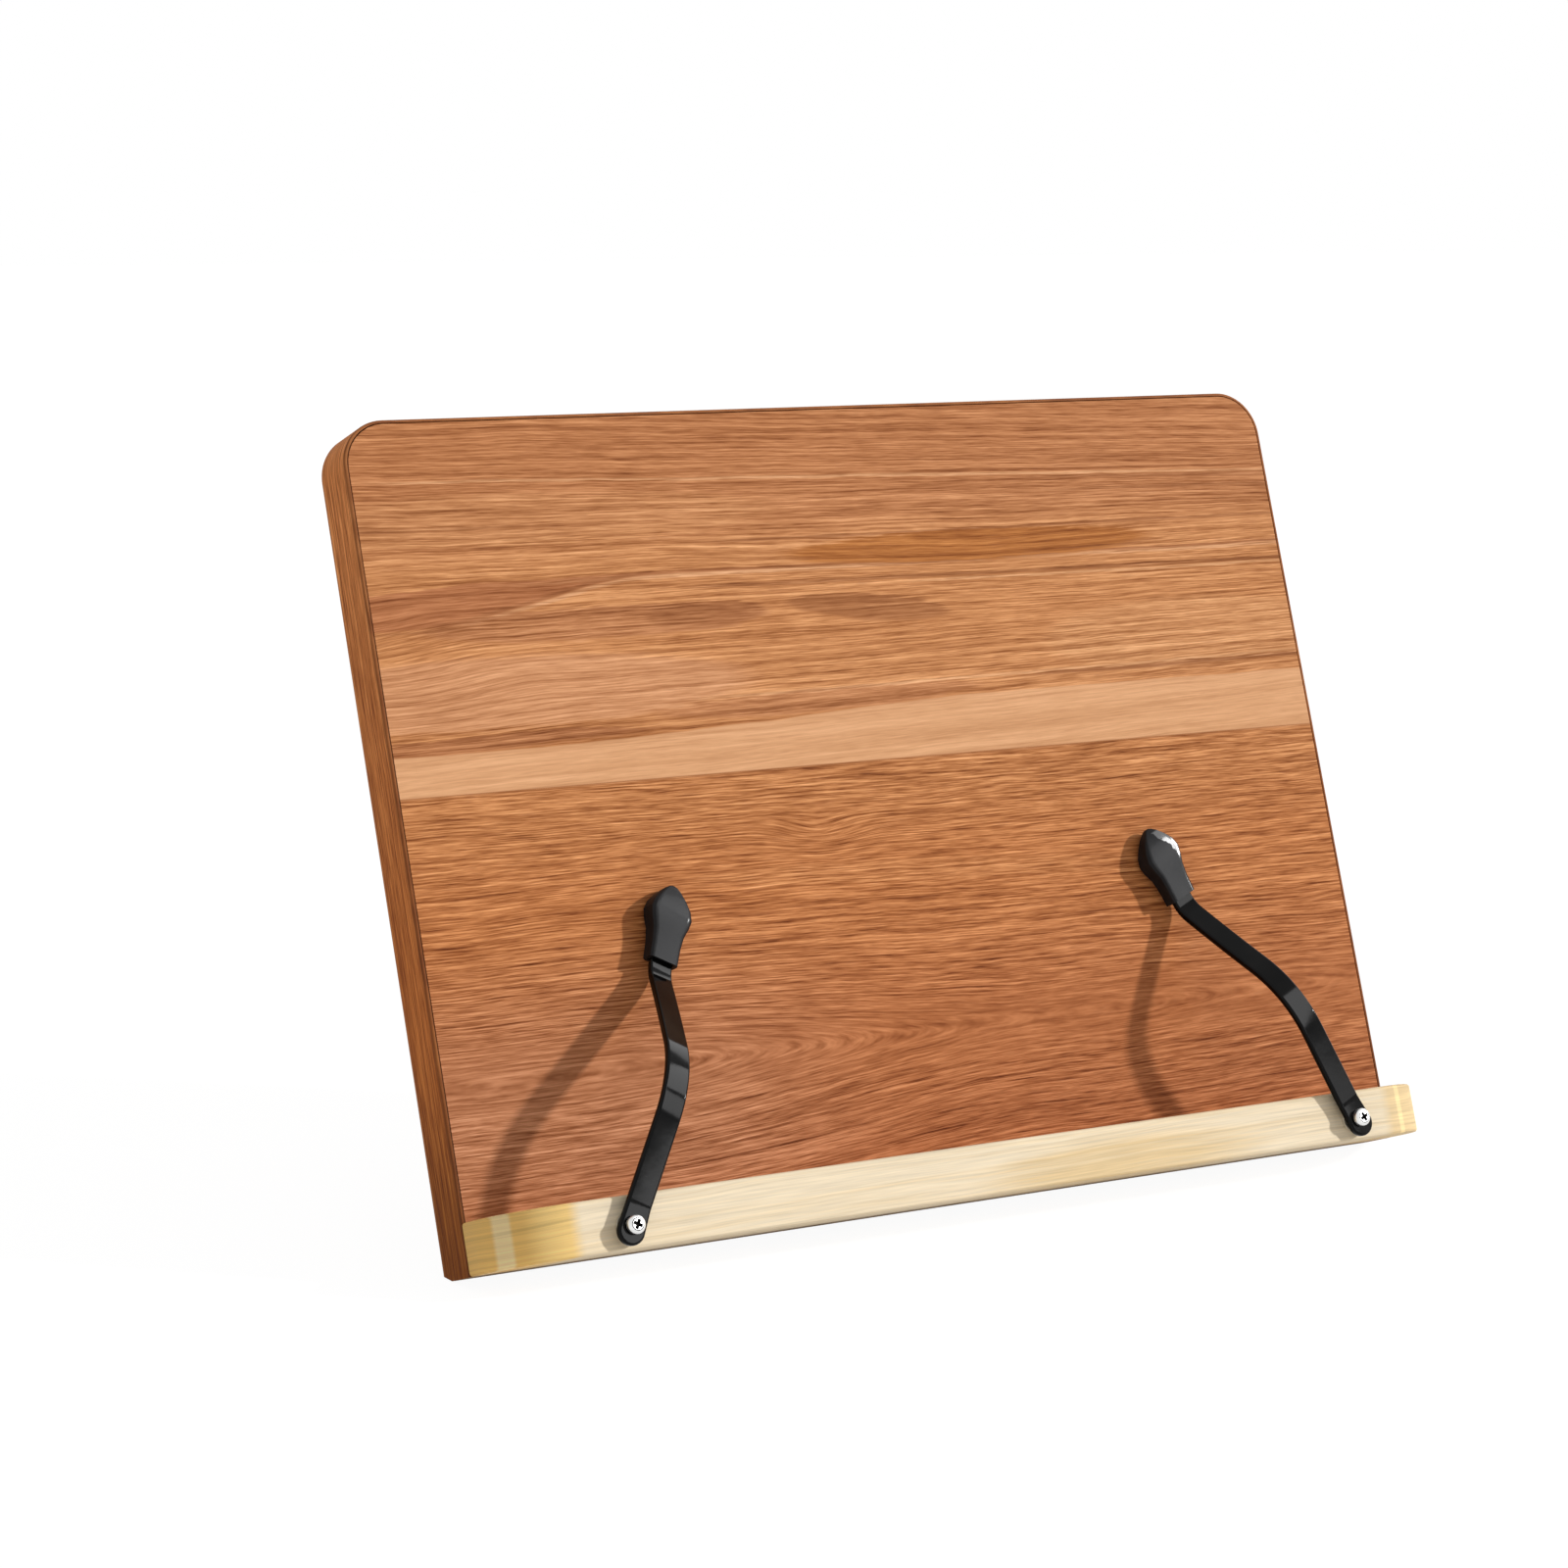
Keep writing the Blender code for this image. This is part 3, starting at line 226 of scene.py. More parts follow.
def at_joint(name, slope):
    """A frame at a joint, turned up round the X axis."""
    return Matrix.Translation(JOINT_PLACES[name]) @ Matrix.Rotation(slope, 4, "X")


def board_place():
    """The board's frame: X across, Y up the face and Z out, from the middle of the face's foot."""
    upright = Matrix.Rotation(RIGHT_ANGLE - sizes("board").lean, 4, "X")
    from_foot = Vector((0.0, sizes("clip").pivot_height, sizes("ledge").depth))
    foot = JOINT_PLACES["left_clip_swing"] - upright.to_3x3() @ from_foot
    foot.x = 0.0
    return Matrix.Translation(foot) @ upright


def clip_place(side):
    """A clip's frame: Y along the strip and Z out, from its screw on the ledge's front."""
    swing = -sizes("clip").left_turn if side == "left" else sizes("clip").right_turn
    place = at_joint(side + "_clip_swing", RIGHT_ANGLE - sizes("board").lean)
    return place @ Matrix.Rotation(swing, 4, "Z")


def leg_place():
    """The leg's frame: Y up the leg and Z towards the board, from the middle of the hinge axis."""
    return at_joint("leg_fold", RIGHT_ANGLE + sizes("board").leg_open - sizes("board").lean)


def stay_place():
    """The stay's frame and arm length: X across and Y along its side wires, from its pivot axis."""
    radius = sizes("stay").wire / 2
    low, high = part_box("wire_stay")
    arm = Vector((0.0, high.y - radius, low.z + radius)) - JOINT_PLACES["stay_fold"]
    return at_joint("stay_fold", atan2(arm.z, arm.y)), arm.length


# Modelling steps


def deselect_all():
    """Leave edit mode and select nothing."""
    if bpy.context.object is not None and bpy.context.object.mode != "OBJECT":
        bpy.ops.object.mode_set(mode="OBJECT")
    bpy.ops.object.select_all(action="DESELECT")


def pick_object(item):
    """Select one object and nothing else."""
    deselect_all()
    bpy.context.view_layer.objects.active = item
    item.select_set(True)


def add_object(name, data):
    """Put an object with its data in the scene."""
    item = bpy.data.objects.new(name, data)
    bpy.context.scene.collection.objects.link(item)
    return item


def between(value, start, end, low, high):
    """How far a value is from one mark to another, as a value from low to high."""
    return low + (high - low) * min(max((value - start) / (end - start), 0.0), 1.0)


def settle(name):
    """Apply the active object's place, turn and scale to its mesh, and name it."""
    bpy.ops.object.transform_apply(location=True, rotation=True, scale=True)
    bpy.context.object.name = name
    return bpy.context.object


def add_block(name, low, high):
    """Add a box between two corners."""
    deselect_all()
    low, high = Vector(low), Vector(high)
    bpy.ops.mesh.primitive_cube_add(size=1.0, location=(low + high) / 2, scale=high - low)
    return settle(name)


def add_drum(name, radius, low, high, sides, along=Z):
    """Add a round bar between two heights along an axis."""
    deselect_all()
    swing = (0.0, 0.0, 0.0) if along == Z else (0.0, RIGHT_ANGLE, 0.0)
    middle = along * ((low + high) / 2)
    bpy.ops.mesh.primitive_cylinder_add(
        vertices=sides, radius=radius, depth=high - low, location=middle, rotation=swing
    )
    return settle(name)


def edit(item):
    """Go into edit mode on a piece, or stay there."""
    if bpy.context.object is not item or item.mode != "EDIT":
        pick_object(item)
        bpy.ops.object.mode_set(mode="EDIT")


def pick_parts(item, kind, wanted):
    """Select the faces or edges of a piece that pass a test, in edit mode."""
    edit(item)
    bpy.ops.mesh.select_mode(type=kind)
    bpy.ops.mesh.select_all(action="DESELECT")
    form = bmesh.from_edit_mesh(item.data)
    found = [part for part in (form.faces if kind == "FACE" else form.edges) if wanted(part)]
    for part in found:
        part.select_set(True)
    bmesh.update_edit_mesh(item.data)
    if not found:
        raise RuntimeError(f"{item.name}: nothing to select")


def pick_faces(item, direction):
    """Select just the faces that look a given way, in edit mode."""
    pick_parts(item, "FACE", lambda face: face.normal.dot(direction) > ALIKE)


def round_edges(item, radius, segments, wanted):
    """Bevel the edges whose two ends pass a test."""
    pick_parts(item, "EDGE", lambda edge: wanted(edge.verts[0].co, edge.verts[1].co))
    bpy.ops.mesh.bevel(
        offset=radius, offset_type="OFFSET", segments=segments, profile=0.5, affect="EDGES"
    )


def extrude(move):
    """Extrude the selected faces."""
    bpy.ops.mesh.extrude_region_move(TRANSFORM_OT_translate={"value": Vector(move)})


def bend(angle, centre, axis, steps):
    """Spin the selected faces on round an axis. A positive angle turns as the right hand does."""
    bpy.ops.mesh.spin(steps=steps, angle=-angle, center=Vector(centre), axis=axis)


def shrink(scale, middle):
    """Scale the selected faces from a middle."""
    bpy.ops.transform.resize(value=scale, center_override=middle)


def tidy_mesh(item):
    """Merge doubles, turn the faces outwards and leave edit mode."""
    edit(item)
    bpy.ops.mesh.select_all(action="SELECT")
    bpy.ops.mesh.remove_doubles(threshold=1e-6)
    bpy.ops.mesh.normals_make_consistent(inside=False)
    bpy.ops.object.mode_set(mode="OBJECT")


def apply_modifier(item, kind, **values):
    """Add a modifier, set it and apply it."""
    pick_object(item)
    modifier = item.modifiers.new(kind.title(), kind)
    for key, value in values.items():
        setattr(modifier, key, value)
    bpy.ops.object.modifier_apply(modifier=modifier.name)


def ease_edges(item, radius, segments, degrees):
    """Bevel all edges that turn by more than an angle."""
    values = {"width": radius, "segments": segments, "limit_method": "ANGLE"}
    apply_modifier(item, "BEVEL", angle_limit=radians(degrees), **values)


def smooth(item, degrees=35.0):
    """Shade round stretches smooth and keep flat faces flat."""
    pick_object(item)
    bpy.ops.object.shade_smooth_by_angle(angle=radians(degrees))
    apply_modifier(item, "WEIGHTED_NORMAL", keep_sharp=True, weight=100)


def place_piece(item, place):
    """Move a piece from its own frame to its place, and apply that to its mesh."""
    pick_object(item)
    item.matrix_world = place
    settle(item.name)


def finish_piece(item, material, slot, *nodes):
    """Give a piece its finish and let it ride and stand for its CAD nodes."""
    item.data.materials.clear()
    item.data.materials.append(material)
    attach(item, frame["nodes"][nodes[0]]["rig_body"])
    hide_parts(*nodes)


def dress(node, material, slot, degrees=35.0, rounding=0.0):
    """Stand a merged copy of a CAD node in for it, smooth where round, its sharp edges eased."""
    mesh = frame["nodes"][node].data.copy()
    mesh.materials.clear()
    item = add_object(node + "_dressed", mesh)
    edit(item)
    bpy.ops.mesh.select_all(action="SELECT")
    bpy.ops.mesh.remove_doubles(threshold=2e-6)
    bpy.ops.mesh.dissolve_limited(angle_limit=radians(0.5))
    bpy.ops.object.mode_set(mode="OBJECT")
    if rounding > 0.0:
        ease_edges(item, rounding, 2, 50.0)
    smooth(item, degrees)
    finish_piece(item, material, slot, node)


def dress_steel(*marks):
    """Dress each CAD node that has one of these marks in its name as bright steel."""
    for name in sorted(frame["nodes"]):
        if any(mark in name for mark in marks):
            dress(name, steel_material(), "bright_steel")


# Finishes


class Wire:
    """An output of a node. Sums and products of wires add math nodes."""

    def __init__(self, finish, socket):
        self.finish = finish
        self.socket = socket

    def __add__(self, other):
        return self.finish.math("ADD", self, other)

    def __mul__(self, other):
        return self.finish.math("MULTIPLY", self, other)

    def __sub__(self, other):
        return self.finish.math("SUBTRACT", self, other)

    def __rsub__(self, other):
        return self.finish.math("SUBTRACT", other, self)

    def __abs__(self):
        return self.finish.math("ABSOLUTE", self)

    def fade(self, start, end, low=0.0, high=1.0):
        """A soft step from one value to another."""
        inputs = {"Value": self, 1: start, 2: end, 3: low, 4: high}
        return self.finish.node("MapRange", inputs, interpolation_type="SMOOTHSTEP")


class Finish:
    """A material or world on the workbench: each call adds one node and gives back its output."""

    def __init__(self, name, shelf="materials"):
        self.owner = getattr(bpy.data, shelf).new(name)
        self.owner.use_nodes = True
        self.tree = self.owner.node_tree

    def node(self, kind, inputs=(), output=0, **values):
        """Add a node, set its values and feed its inputs by number or name."""
        node = self.tree.nodes.new("ShaderNode" + kind)
        for key, value in values.items():
            setattr(node, key, value)
        for key, value in dict(inputs).items():
            self.feed(node.inputs[key], value)
        return Wire(self, node.outputs[output])

    def feed(self, socket, value):
        """Link a wire to an input, or set the input's own value."""
        if isinstance(value, Wire):
            self.tree.links.new(value.socket, socket)
        elif socket.type == "RGBA" and len(value) == 3:
            socket.default_value = (*value, 1.0)
        else:
            socket.default_value = value

    def math(self, operation, *values, clamp=False):
        """A sum with one or two values."""
        return self.node("Math", enumerate(values), operation=operation, use_clamp=clamp)

    def point(self, x, y, z=0.0):
        """Three values as one point."""
        return self.node("CombineXYZ", {0: x, 1: y, 2: z})

    def split(self, point):
        """The three values of a point."""
        outputs = self.node("SeparateXYZ", {0: point}).socket.node.outputs
        return [Wire(self, socket) for socket in outputs]

    def noise(self, point, scale=1.0, detail=2.0, rough=0.5):
        """Soft clouds between 0 and 1."""
        inputs = {"Vector": point, "Scale": scale, "Detail": detail, "Roughness": rough}
        return self.node("TexNoise", inputs)

    def wander(self, x, y, seed, detail=2.0, rough=0.5):
        """A soft drift to either side of 0."""
        return self.noise(self.point(x, y, seed), 1.0, detail, rough) - 0.5

    def ramp(self, value, stops):
        """Colours along a value."""
        output = self.node("ValToRGB", {0: value})
        band = output.socket.node.color_ramp
        band.interpolation = "EASE"
        while len(band.elements) < len(stops):
            band.elements.new(0.5)
        for element, (place, shade) in zip(band.elements, stops):
            element.position = place
            element.color = (*shade, 1.0)
        return output

    def mix(self, share, first, second, blend="MIX"):
        """Blend two colours."""
        inputs = {0: share, 6: first, 7: second}
        return self.node("Mix", inputs, 2, data_type="RGBA", blend_type=blend)

    def shade(self, tint, amount):
        """Multiply a colour by a grey amount."""
        return self.mix(1.0, tint, self.point(amount, amount, amount), "MULTIPLY")

    def seen(self):
        """1 for rays from the camera and from gloss, 0 for all others."""
        rays = self.node("LightPath").socket.node.outputs
        names = ("Is Camera Ray", "Is Glossy Ray")
        return self.math("MAXIMUM", *(Wire(self, rays[name]) for name in names))

    def blend(self, share, lit, shown, output):
        """Blend a second shader into the owner's own."""
        lit = Wire(self, self.tree.nodes[lit].outputs[0])
        blend = self.node("MixShader", {0: share, 1: lit, 2: shown})
        self.feed(self.tree.nodes[output].inputs["Surface"], blend)

    def axes(self, place):
        """Millimetres along a piece's own axes, as three wires."""
        inverse = place.inverted()
        inputs = {
            "Vector": self.node("TexCoord", output=3),
            "Location": inverse.translation * MM,
            "Rotation": inverse.to_euler(),
            "Scale": (MM, MM, MM),
        }
        return self.split(self.node("Mapping", inputs, vector_type="POINT"))

    def spot(self):
        """Millimetres along the scene's own axes, as one point."""
        return self.point(*self.axes(Matrix()))

    def bump(self, height, strength, distance=0.0001):
        """Raise the surface a little."""
        inputs = {"Height": height, "Strength": strength, "Distance": distance}
        self.set(Normal=self.node("Bump", inputs))

    def set(self, **values):
        """Set or link the shader's own inputs."""
        for key, value in values.items():
            self.feed(self.tree.nodes["Principled BSDF"].inputs[key.replace("_", " ")], value)
        return self.owner


def grain_lines(finish, along, across, seed, broad=1.0, short=1.0):
    """Grain along the wood, from broad stripes to hairlines, as a shade round 1, and its pores."""
    def streaks(run, pitch, detail=3.0, rough=0.65):
        return finish.wander(along * run, across * pitch, seed, detail, rough)

    def ring_lines(level, half):
        return abs(rings - level).fade(half * 0.2, half, 1.0, 0.0)

    rings = streaks(0.005, 0.34, 1.0, 0.5)
    lines = (
        streaks(0.0035, 0.16) * 0.35
        + streaks(0.0045, 0.80) * broad * 1.25
        + streaks(0.010, 0.70) * broad * 0.80
        + streaks(0.030, 1.9, 2.0) * short * 1.90
        + streaks(0.11, 2.3, 2.0) * short * 2.10
        + ring_lines(0.0, 0.040) * broad * 0.09
        + ring_lines(0.10, 0.035) * broad * -0.08
        + 0.99
    )
    return finish.math("MAXIMUM", lines, 0.25), streaks(0.13, 2.1, 2.0, 0.5).fade(0.07, 0.20)


def wood_tint(finish, ground, lines, pores):
    """Colour the grain: dark lines turn redder than light ones, and pores darker still."""
    green, blue = (finish.math("POWER", lines, power) for power in (1.35, 1.75))
    shades = finish.point(lines, green, blue)
    tint = finish.mix(1.0, ground, shades, "MULTIPLY")
    return finish.mix(pores * 0.32, tint, tone("foil_dark"))


def foil_skin(finish, tint, lines, pores, rough):
    """The foil's matt lacquer, with its grain faintly felt."""
    finish.bump(lines * 0.6 + pores * -0.5, 0.08)
    return finish.set(Base_Color=tint, Roughness=rough, Specular_IOR_Level=0.13)


def foil_on_core(finish, ground, lines, pores, cut, place):
    """Foil on a fibreboard core, which is felted and a little blotchy where it is cut."""
    fibres = finish.noise(finish.point(*place), 2.2, 4.0, 0.7)
    core = finish.shade(tone("core"), fibres * 0.5 + 0.72)
    tint = finish.mix(cut, wood_tint(finish, ground, lines, pores), core)
    return foil_skin(finish, tint, lines, pores, (lines - 1.0) * -0.15 + 0.74)


# The print on the board's face, in millimetres across and up from its lower left corner
FACE_HEIGHT = 212.0
SEAM = 116.3
SEAM_FADE = (116.35, 116.65)
ARCH_AXIS = 45.0
ARCH_TIP = 177.0
BROWN = (0.330, 0.115, 0.036)
CREAM = (0.720, 0.370, 0.175)
FACE_TONES = (
    # share of the height, colour
    (0.06, (0.419, 0.135, 0.044)),
    (0.20, (0.461, 0.152, 0.048)),
    (0.40, (0.518, 0.182, 0.054)),
    (0.54, (0.540, 0.206, 0.066)),
    (0.64, (0.605, 0.252, 0.091)),
    (0.72, (0.612, 0.253, 0.090)),
    (0.80, (0.610, 0.255, 0.092)),
    (0.87, (0.530, 0.209, 0.077)),
    (0.96, (0.499, 0.190, 0.067)),
)
GLOWS = (
    # name, middle across and up, half width and height, slope, share, colour
    ("pale", 30.0, 141.0, 75.0, 9.5, 0.0, 0.8, (0.655, 0.298, 0.136)),
    ("right", 245.0, 145.0, 50.0, 10.0, 0.0, 0.35, (0.670, 0.320, 0.135)),
    ("top", 45.0, 185.0, 75.0, 7.0, 0.0, 0.22, (0.700, 0.330, 0.130)),
)
LENSES = (
    ("left", 62.0, 157.4, 50.0, 4.2, 0.0, 0.7, (0.480, 0.186, 0.072)),
    ("left_heart", 94.0, 157.8, 18.0, 3.6, 0.0, 0.8, (0.415, 0.153, 0.052)),
    ("middle", 143.0, 157.2, 25.0, 3.4, -0.10, 1.0, (0.422, 0.158, 0.052)),
    ("upper", 178.0, 172.3, 59.0, 4.5, 0.0, 1.0, (0.440, 0.147, 0.031)),
    ("over_tan", 125.0, 133.8, 50.0, 3.0, 0.02, 0.7, (0.470, 0.180, 0.068)),
    ("over_tan_left", 15.0, 128.2, 60.0, 1.9, 0.02, 0.8, (0.450, 0.168, 0.062)),
    ("lower_glow", 150.0, 86.5, 78.0, 3.0, -0.05, 0.5, (0.560, 0.215, 0.070)),
)
THIN_LINES = (
    # height, slope, half width, where it starts and is full, share, colour
    (196.0, -0.023, 0.55, 0.0, 20.0, 0.45, CREAM),
    (194.8, -0.023, 0.60, 185.0, 215.0, 0.55, BROWN),
    (183.3, 0.0, 0.60, 55.0, 30.0, 0.55, BROWN),
    (187.9, -0.008, 0.50, 190.0, 220.0, 0.50, BROWN),
    (176.7, 0.0, 0.50, 85.0, 110.0, 0.60, BROWN),
    (165.2, -0.004, 0.65, 85.0, 100.0, 0.60, BROWN),
    (163.3, 0.0, 0.50, 150.0, 170.0, 0.50, CREAM),
    (135.1, 0.010, 0.55, 80.0, 100.0, 0.45, CREAM),
    (135.3, 0.005, 0.75, 180.0, 205.0, 0.85, BROWN),
    (157.6, 0.0, 0.50, 40.0, 15.0, 0.45, BROWN),
)


def spread(x, y, half_x, half_y):
    """How far a place is from the middle of an oval, squared, where 1 is its rim."""
    x, y = x * (1.0 / half_x), y * (1.0 / half_y)
    return x * x + y * y


def grain_run(finish, u, v, drift, swell):
    """A value that runs across the face's grain, so that the grain follows where it is level."""
    def hill(centre_u, centre_v, half_u, half_v, rise):
        reach = spread(u - centre_u, v - centre_v, half_u, half_v)
        return finish.math("EXPONENT", reach * -1.0) * rise

    # Upper plank: straight grain that falls to the right at its top and rises above the seam,
    # with a swirl at its left end.
    tilt = finish.node("MapRange", {"Value": v, 1: 127.0, 2: 200.0, 3: -0.032, 4: 0.028})
    swirl = (u + v * 1.2).fade(220.0, 174.0) * v.fade(126.0, 144.0) * v.fade(176.0, 154.0) * 3.0
    upper_run = v + u * tilt + swirl + hill(180.0, 172.0, 60.0, 5.0, 2.5)

    # Lower plank: an arch of growth rings that closes to the right.
    rise = v - ARCH_AXIS
    nearness = rise * v.fade(40.0, 52.0, 1.0 / 50.0, 1.0 / 20.0)
    slope = finish.math("DIVIDE", 0.12, nearness * nearness + 1.0)
    length = u.fade(45.0, ARCH_TIP, -85.0, 0.0) + u.fade(ARCH_TIP, 280.0, 0.0, 15.0)
    arch = finish.math("SQRT", rise * rise + 14.0)
    lower_run = arch + slope * length + hill(116.0, 99.0, 12.0, 4.5, 3.0)

    upper = v.fade(*SEAM_FADE)
    return upper * upper_run + (1.0 - upper) * lower_run + drift * 3.5 + swell * 1.3


def foil_face(finish, u, v):
    """The printed foil on the board's face, in millimetres from its lower left corner."""
    drift = finish.wander(u * 0.008, v * 0.020, 3.0)
    swell = finish.wander(u * 0.035, v * 0.090, 7.0)
    run = grain_run(finish, u, v, drift, swell)
    seed = v * 0.02 + v.fade(36.0, 55.0, 0.0, 4.0)
    broad, short = v.fade(*SEAM_FADE, 0.50, 1.0), v.fade(*SEAM_FADE, 1.05, 0.65)
    lines, pores = grain_lines(finish, u, run, seed, broad, short)
    edge = v + drift * 1.5 + swell * 1.2 + (lines - 1.0) * 0.5
    ground = finish.ramp((v + drift * 10.0) * (1.0 / FACE_HEIGHT), FACE_TONES)
    patches = {}

    def lay_patches(ground, rows):
        """Mix soft ovals with frayed rims into the ground."""
        for name, centre_u, centre_v, half_u, half_v, slope, share, shade in rows:
            x = u - centre_u
            y = edge + (lines - 1.0) * 1.3 - centre_v + x * -slope
            patches[name] = spread(x, y, half_u, half_v).fade(0.75, 1.15, 1.0, 0.0)
            ground = finish.mix(patches[name] * share, ground, shade)
        return ground

    def thin_line(height, half, start, end):
        return abs(edge - height).fade(half * 0.3, half, 1.0, 0.0) * u.fade(start, end)

    ground = lay_patches(ground, GLOWS)
    floor = u.fade(12.0, 82.0, 158.3, 168.8)
    roof = u.fade(0.0, 30.0, 167.5, 169.3)
    streak = (edge - floor).fade(-0.4, 0.5) * (roof - edge).fade(-0.3, 0.3)
    ground = finish.mix(thin_line(floor - 0.5, 0.8, 20.0, 30.0) * 0.6, ground, (0.70, 0.35, 0.17))
    ground = finish.mix(streak * 0.95, ground, (0.452, 0.160, 0.058))
    ground = finish.mix(thin_line(roof - 0.9, 0.9, 25.0, 60.0) * streak * 0.7, ground, BROWN)
    ground = finish.mix(thin_line(floor + 0.6, 0.7, 20.0, 30.0) * streak * 0.6, ground, BROWN)
    ground = lay_patches(ground, LENSES)

    upper = v.fade(*SEAM_FADE)
    for height, slope, half, start, end, share, shade in THIN_LINES:
        mark = thin_line(u * slope + height, half, start, end)
        ground = finish.mix(mark * share * upper, ground, shade)
    tan_band = upper * (u.fade(30.0, 190.0, 126.4, 132.5) - edge).fade(-0.25, 0.35)
    ground = finish.mix(tan_band, ground, (0.757, 0.388, 0.187))
    ground = finish.mix(abs(v - SEAM).fade(0.1, 0.5, 1.0, 0.0) * 0.6, ground, BROWN)
    corner = u.fade(60.0, 135.0, 1.0, 0.0) * v.fade(35.0, 85.0, 1.0, 0.0)
    ground = finish.mix(corner * 0.55, ground, (0.515, 0.220, 0.108))

    calm = (
        tan_band.fade(0.0, 1.0, 1.0, 0.30)
        * (streak + patches["middle"] + patches["upper"]).fade(0.0, 1.0, 1.0, 0.85)
        * patches["pale"].fade(0.0, 1.0, 1.0, 0.66)
        * abs(v - ARCH_AXIS).fade(4.0, 12.0, 0.60, 1.0)
    )
    return ground, (lines - 1.0) * calm + 1.0, pores * calm


@cache
def foil_material():
    """The board's wood foil, a print of two planks, with the core showing where it is cut."""
    finish = Finish("wood_foil_board")
    board = sizes("board")
    x, y, z = finish.axes(board_place())
    ground, lines, pores = foil_face(finish, x + board.width / 2 * MM, y)
    half = board.thickness * MM / 2
    cut = abs(z + half).fade(half - 0.35, half - 0.20, 1.0, 0.0)
    return foil_on_core(finish, ground, lines, pores, cut, (x, y, z))


@cache
def leg_material():
    """The leg's foil, with grain down its length and the core in its notches and at its ends."""
    finish = Finish("wood_foil_leg")
    board = sizes("board")
    x, y, z = finish.axes(leg_place())
    side, half = board.leg_width / 2 * MM, board.leg_thickness / 2 * MM
    edge = abs(x).fade(side - 0.40, side - 0.25)
    drift = x + finish.wander(x * 0.03, y * 0.010, 5.0) * 12.0 + edge * z
    lines, pores = grain_lines(finish, y, drift, 21.0)
    deep = abs(z + (half - board.leg_face * MM))
    cut = deep.fade(half - 0.40, half - 0.25, 1.0, 0.0) * (1.0 - edge)
    return foil_on_core(finish, tone("foil_mid"), lines, pores, cut, (x, y, z))


@cache
def band_material():
    """The edge band: its grain follows it round the corners, darker at its foot, partly as painted
    shade, and dark at the face.
    """
    finish = Finish("edge_band_foil")
    along, across, _ = finish.split(finish.node("UVMap", uv_map="Along"))
    along, across = along * MM, across * MM
    drift = across + finish.wander(along * 0.012, across * 0.10, 2.0) * 3.0
    lines, pores = grain_lines(finish, along, drift, 31.0)
    height = finish.axes(board_place())[1] * (1.0 / (sizes("board").height * MM))
    # Painted shade in part: the band darkens towards the board's foot, partly as shade near the table
    # and partly as a deeper tone
    stops = ((0.02, tone("band_foot_shaded")), (0.30, tone("band")), (0.95, tone("band_top")))
    ground = finish.ramp(height, stops)
    tint = wood_tint(finish, ground, lines, pores)
    # Across is 0 at the board's face and falls to its back, in millimetres
    tint = finish.mix(across.fade(-1.0, -0.3) * 0.65, tint, tone("band_seam"))
    tint = finish.mix(across.fade(-13.4, -14.4) * 0.45, tint, tone("foil_light"))
    return foil_skin(finish, tint, lines, pores, pores * 0.08 + 0.70)


@cache
def pine_material():
    """Pale planed pine, with fine grain along the ledge, darker end grain at its corners and painted
    highlight stripes on them.
    """
    finish = Finish("pine_ledge")
    ledge = sizes("ledge")
    x, y, z = finish.axes(board_place())
    half = ledge.height / 2 * MM
    level = abs(y - half).fade(half - 0.6, half - 0.2)
    wander = finish.wander(x * 0.014, y * 0.05, z * 0.02)
    drift = y + (z - ledge.depth * MM) * level + wander * 3.0 + x * -0.012

    def streaks(run, pitch, seed, detail=3.0):
        return finish.wander(x * run, drift * pitch, seed, detail, 0.6)

    fine = streaks(0.020, 1.1, 9.0)
    warm = spread(x - 36.0, y - 3.0, 42.0, 7.0) + streaks(0.02, 0.4, 3.0)
    share = warm.fade(0.0, 1.6, 0.85, 0.0) + streaks(0.004, 0.28, 4.0) * 1.5 + fine * 1.3
    share = finish.math("ADD", share, 0.12, clamp=True)
    tint = finish.mix(share, tone("pine_light"), tone("pine_dark"))

    # The round corners, in millimetres from the ledge's middle: end grain, and light stripes on it
    # that are painted highlights
    side = abs(x + 0.7)
    right = x.fade(0.0, 1.0)
    gleam = side.fade(134.6, 135.4) * side.fade(138.0, 137.3)
    right_highlight = side.fade(125.2, 125.8) * side.fade(127.6, 127.0) * right
    end = finish.mix(side.fade(128.0, 134.0), tone("pine_turn"), tone("pine_end"))
    end = finish.mix(right, end, tone("pine_dark"))
    end = finish.mix(finish.math("MAXIMUM", gleam, right_highlight), end, tone("pine_highlight"))
    end = finish.shade(end, fine * 0.7 + streaks(0.01, 0.35, 6.0) * 0.5 + 1.0)
    shade = streaks(0.05, 2.0, 5.0, 2.0) * 0.5 + streaks(0.012, 0.8, 8.0) * 0.45 + 1.0
    tint = finish.shade(finish.mix(side.fade(119.5, 123.6), tint, end), shade)
    finish.bump(fine * 0.5 + shade * 0.3, 0.08)
    return finish.set(Base_Color=tint, Roughness=fine * 0.10 + 0.60, Specular_IOR_Level=0.25)


@cache
def paint_material():
    """Gloss black paint on the clip arms, with the faint unevenness of a dipped coat."""
    finish = Finish("gloss_black_paint")
    point = finish.spot()
    cloud, speck = finish.noise(point, 0.12, 3.0), finish.noise(point, 4.0)
    tint = finish.mix(cloud.fade(0.35, 0.7), tone("paint"), (0.004, 0.0036, 0.0034))
    finish.bump(cloud + speck * 0.04, 0.05, 0.0004)
    rough = cloud * 0.07 + 0.05 + speck.fade(0.62, 0.75) * 0.05
    return finish.set(Base_Color=tint, Roughness=rough, IOR=1.2)


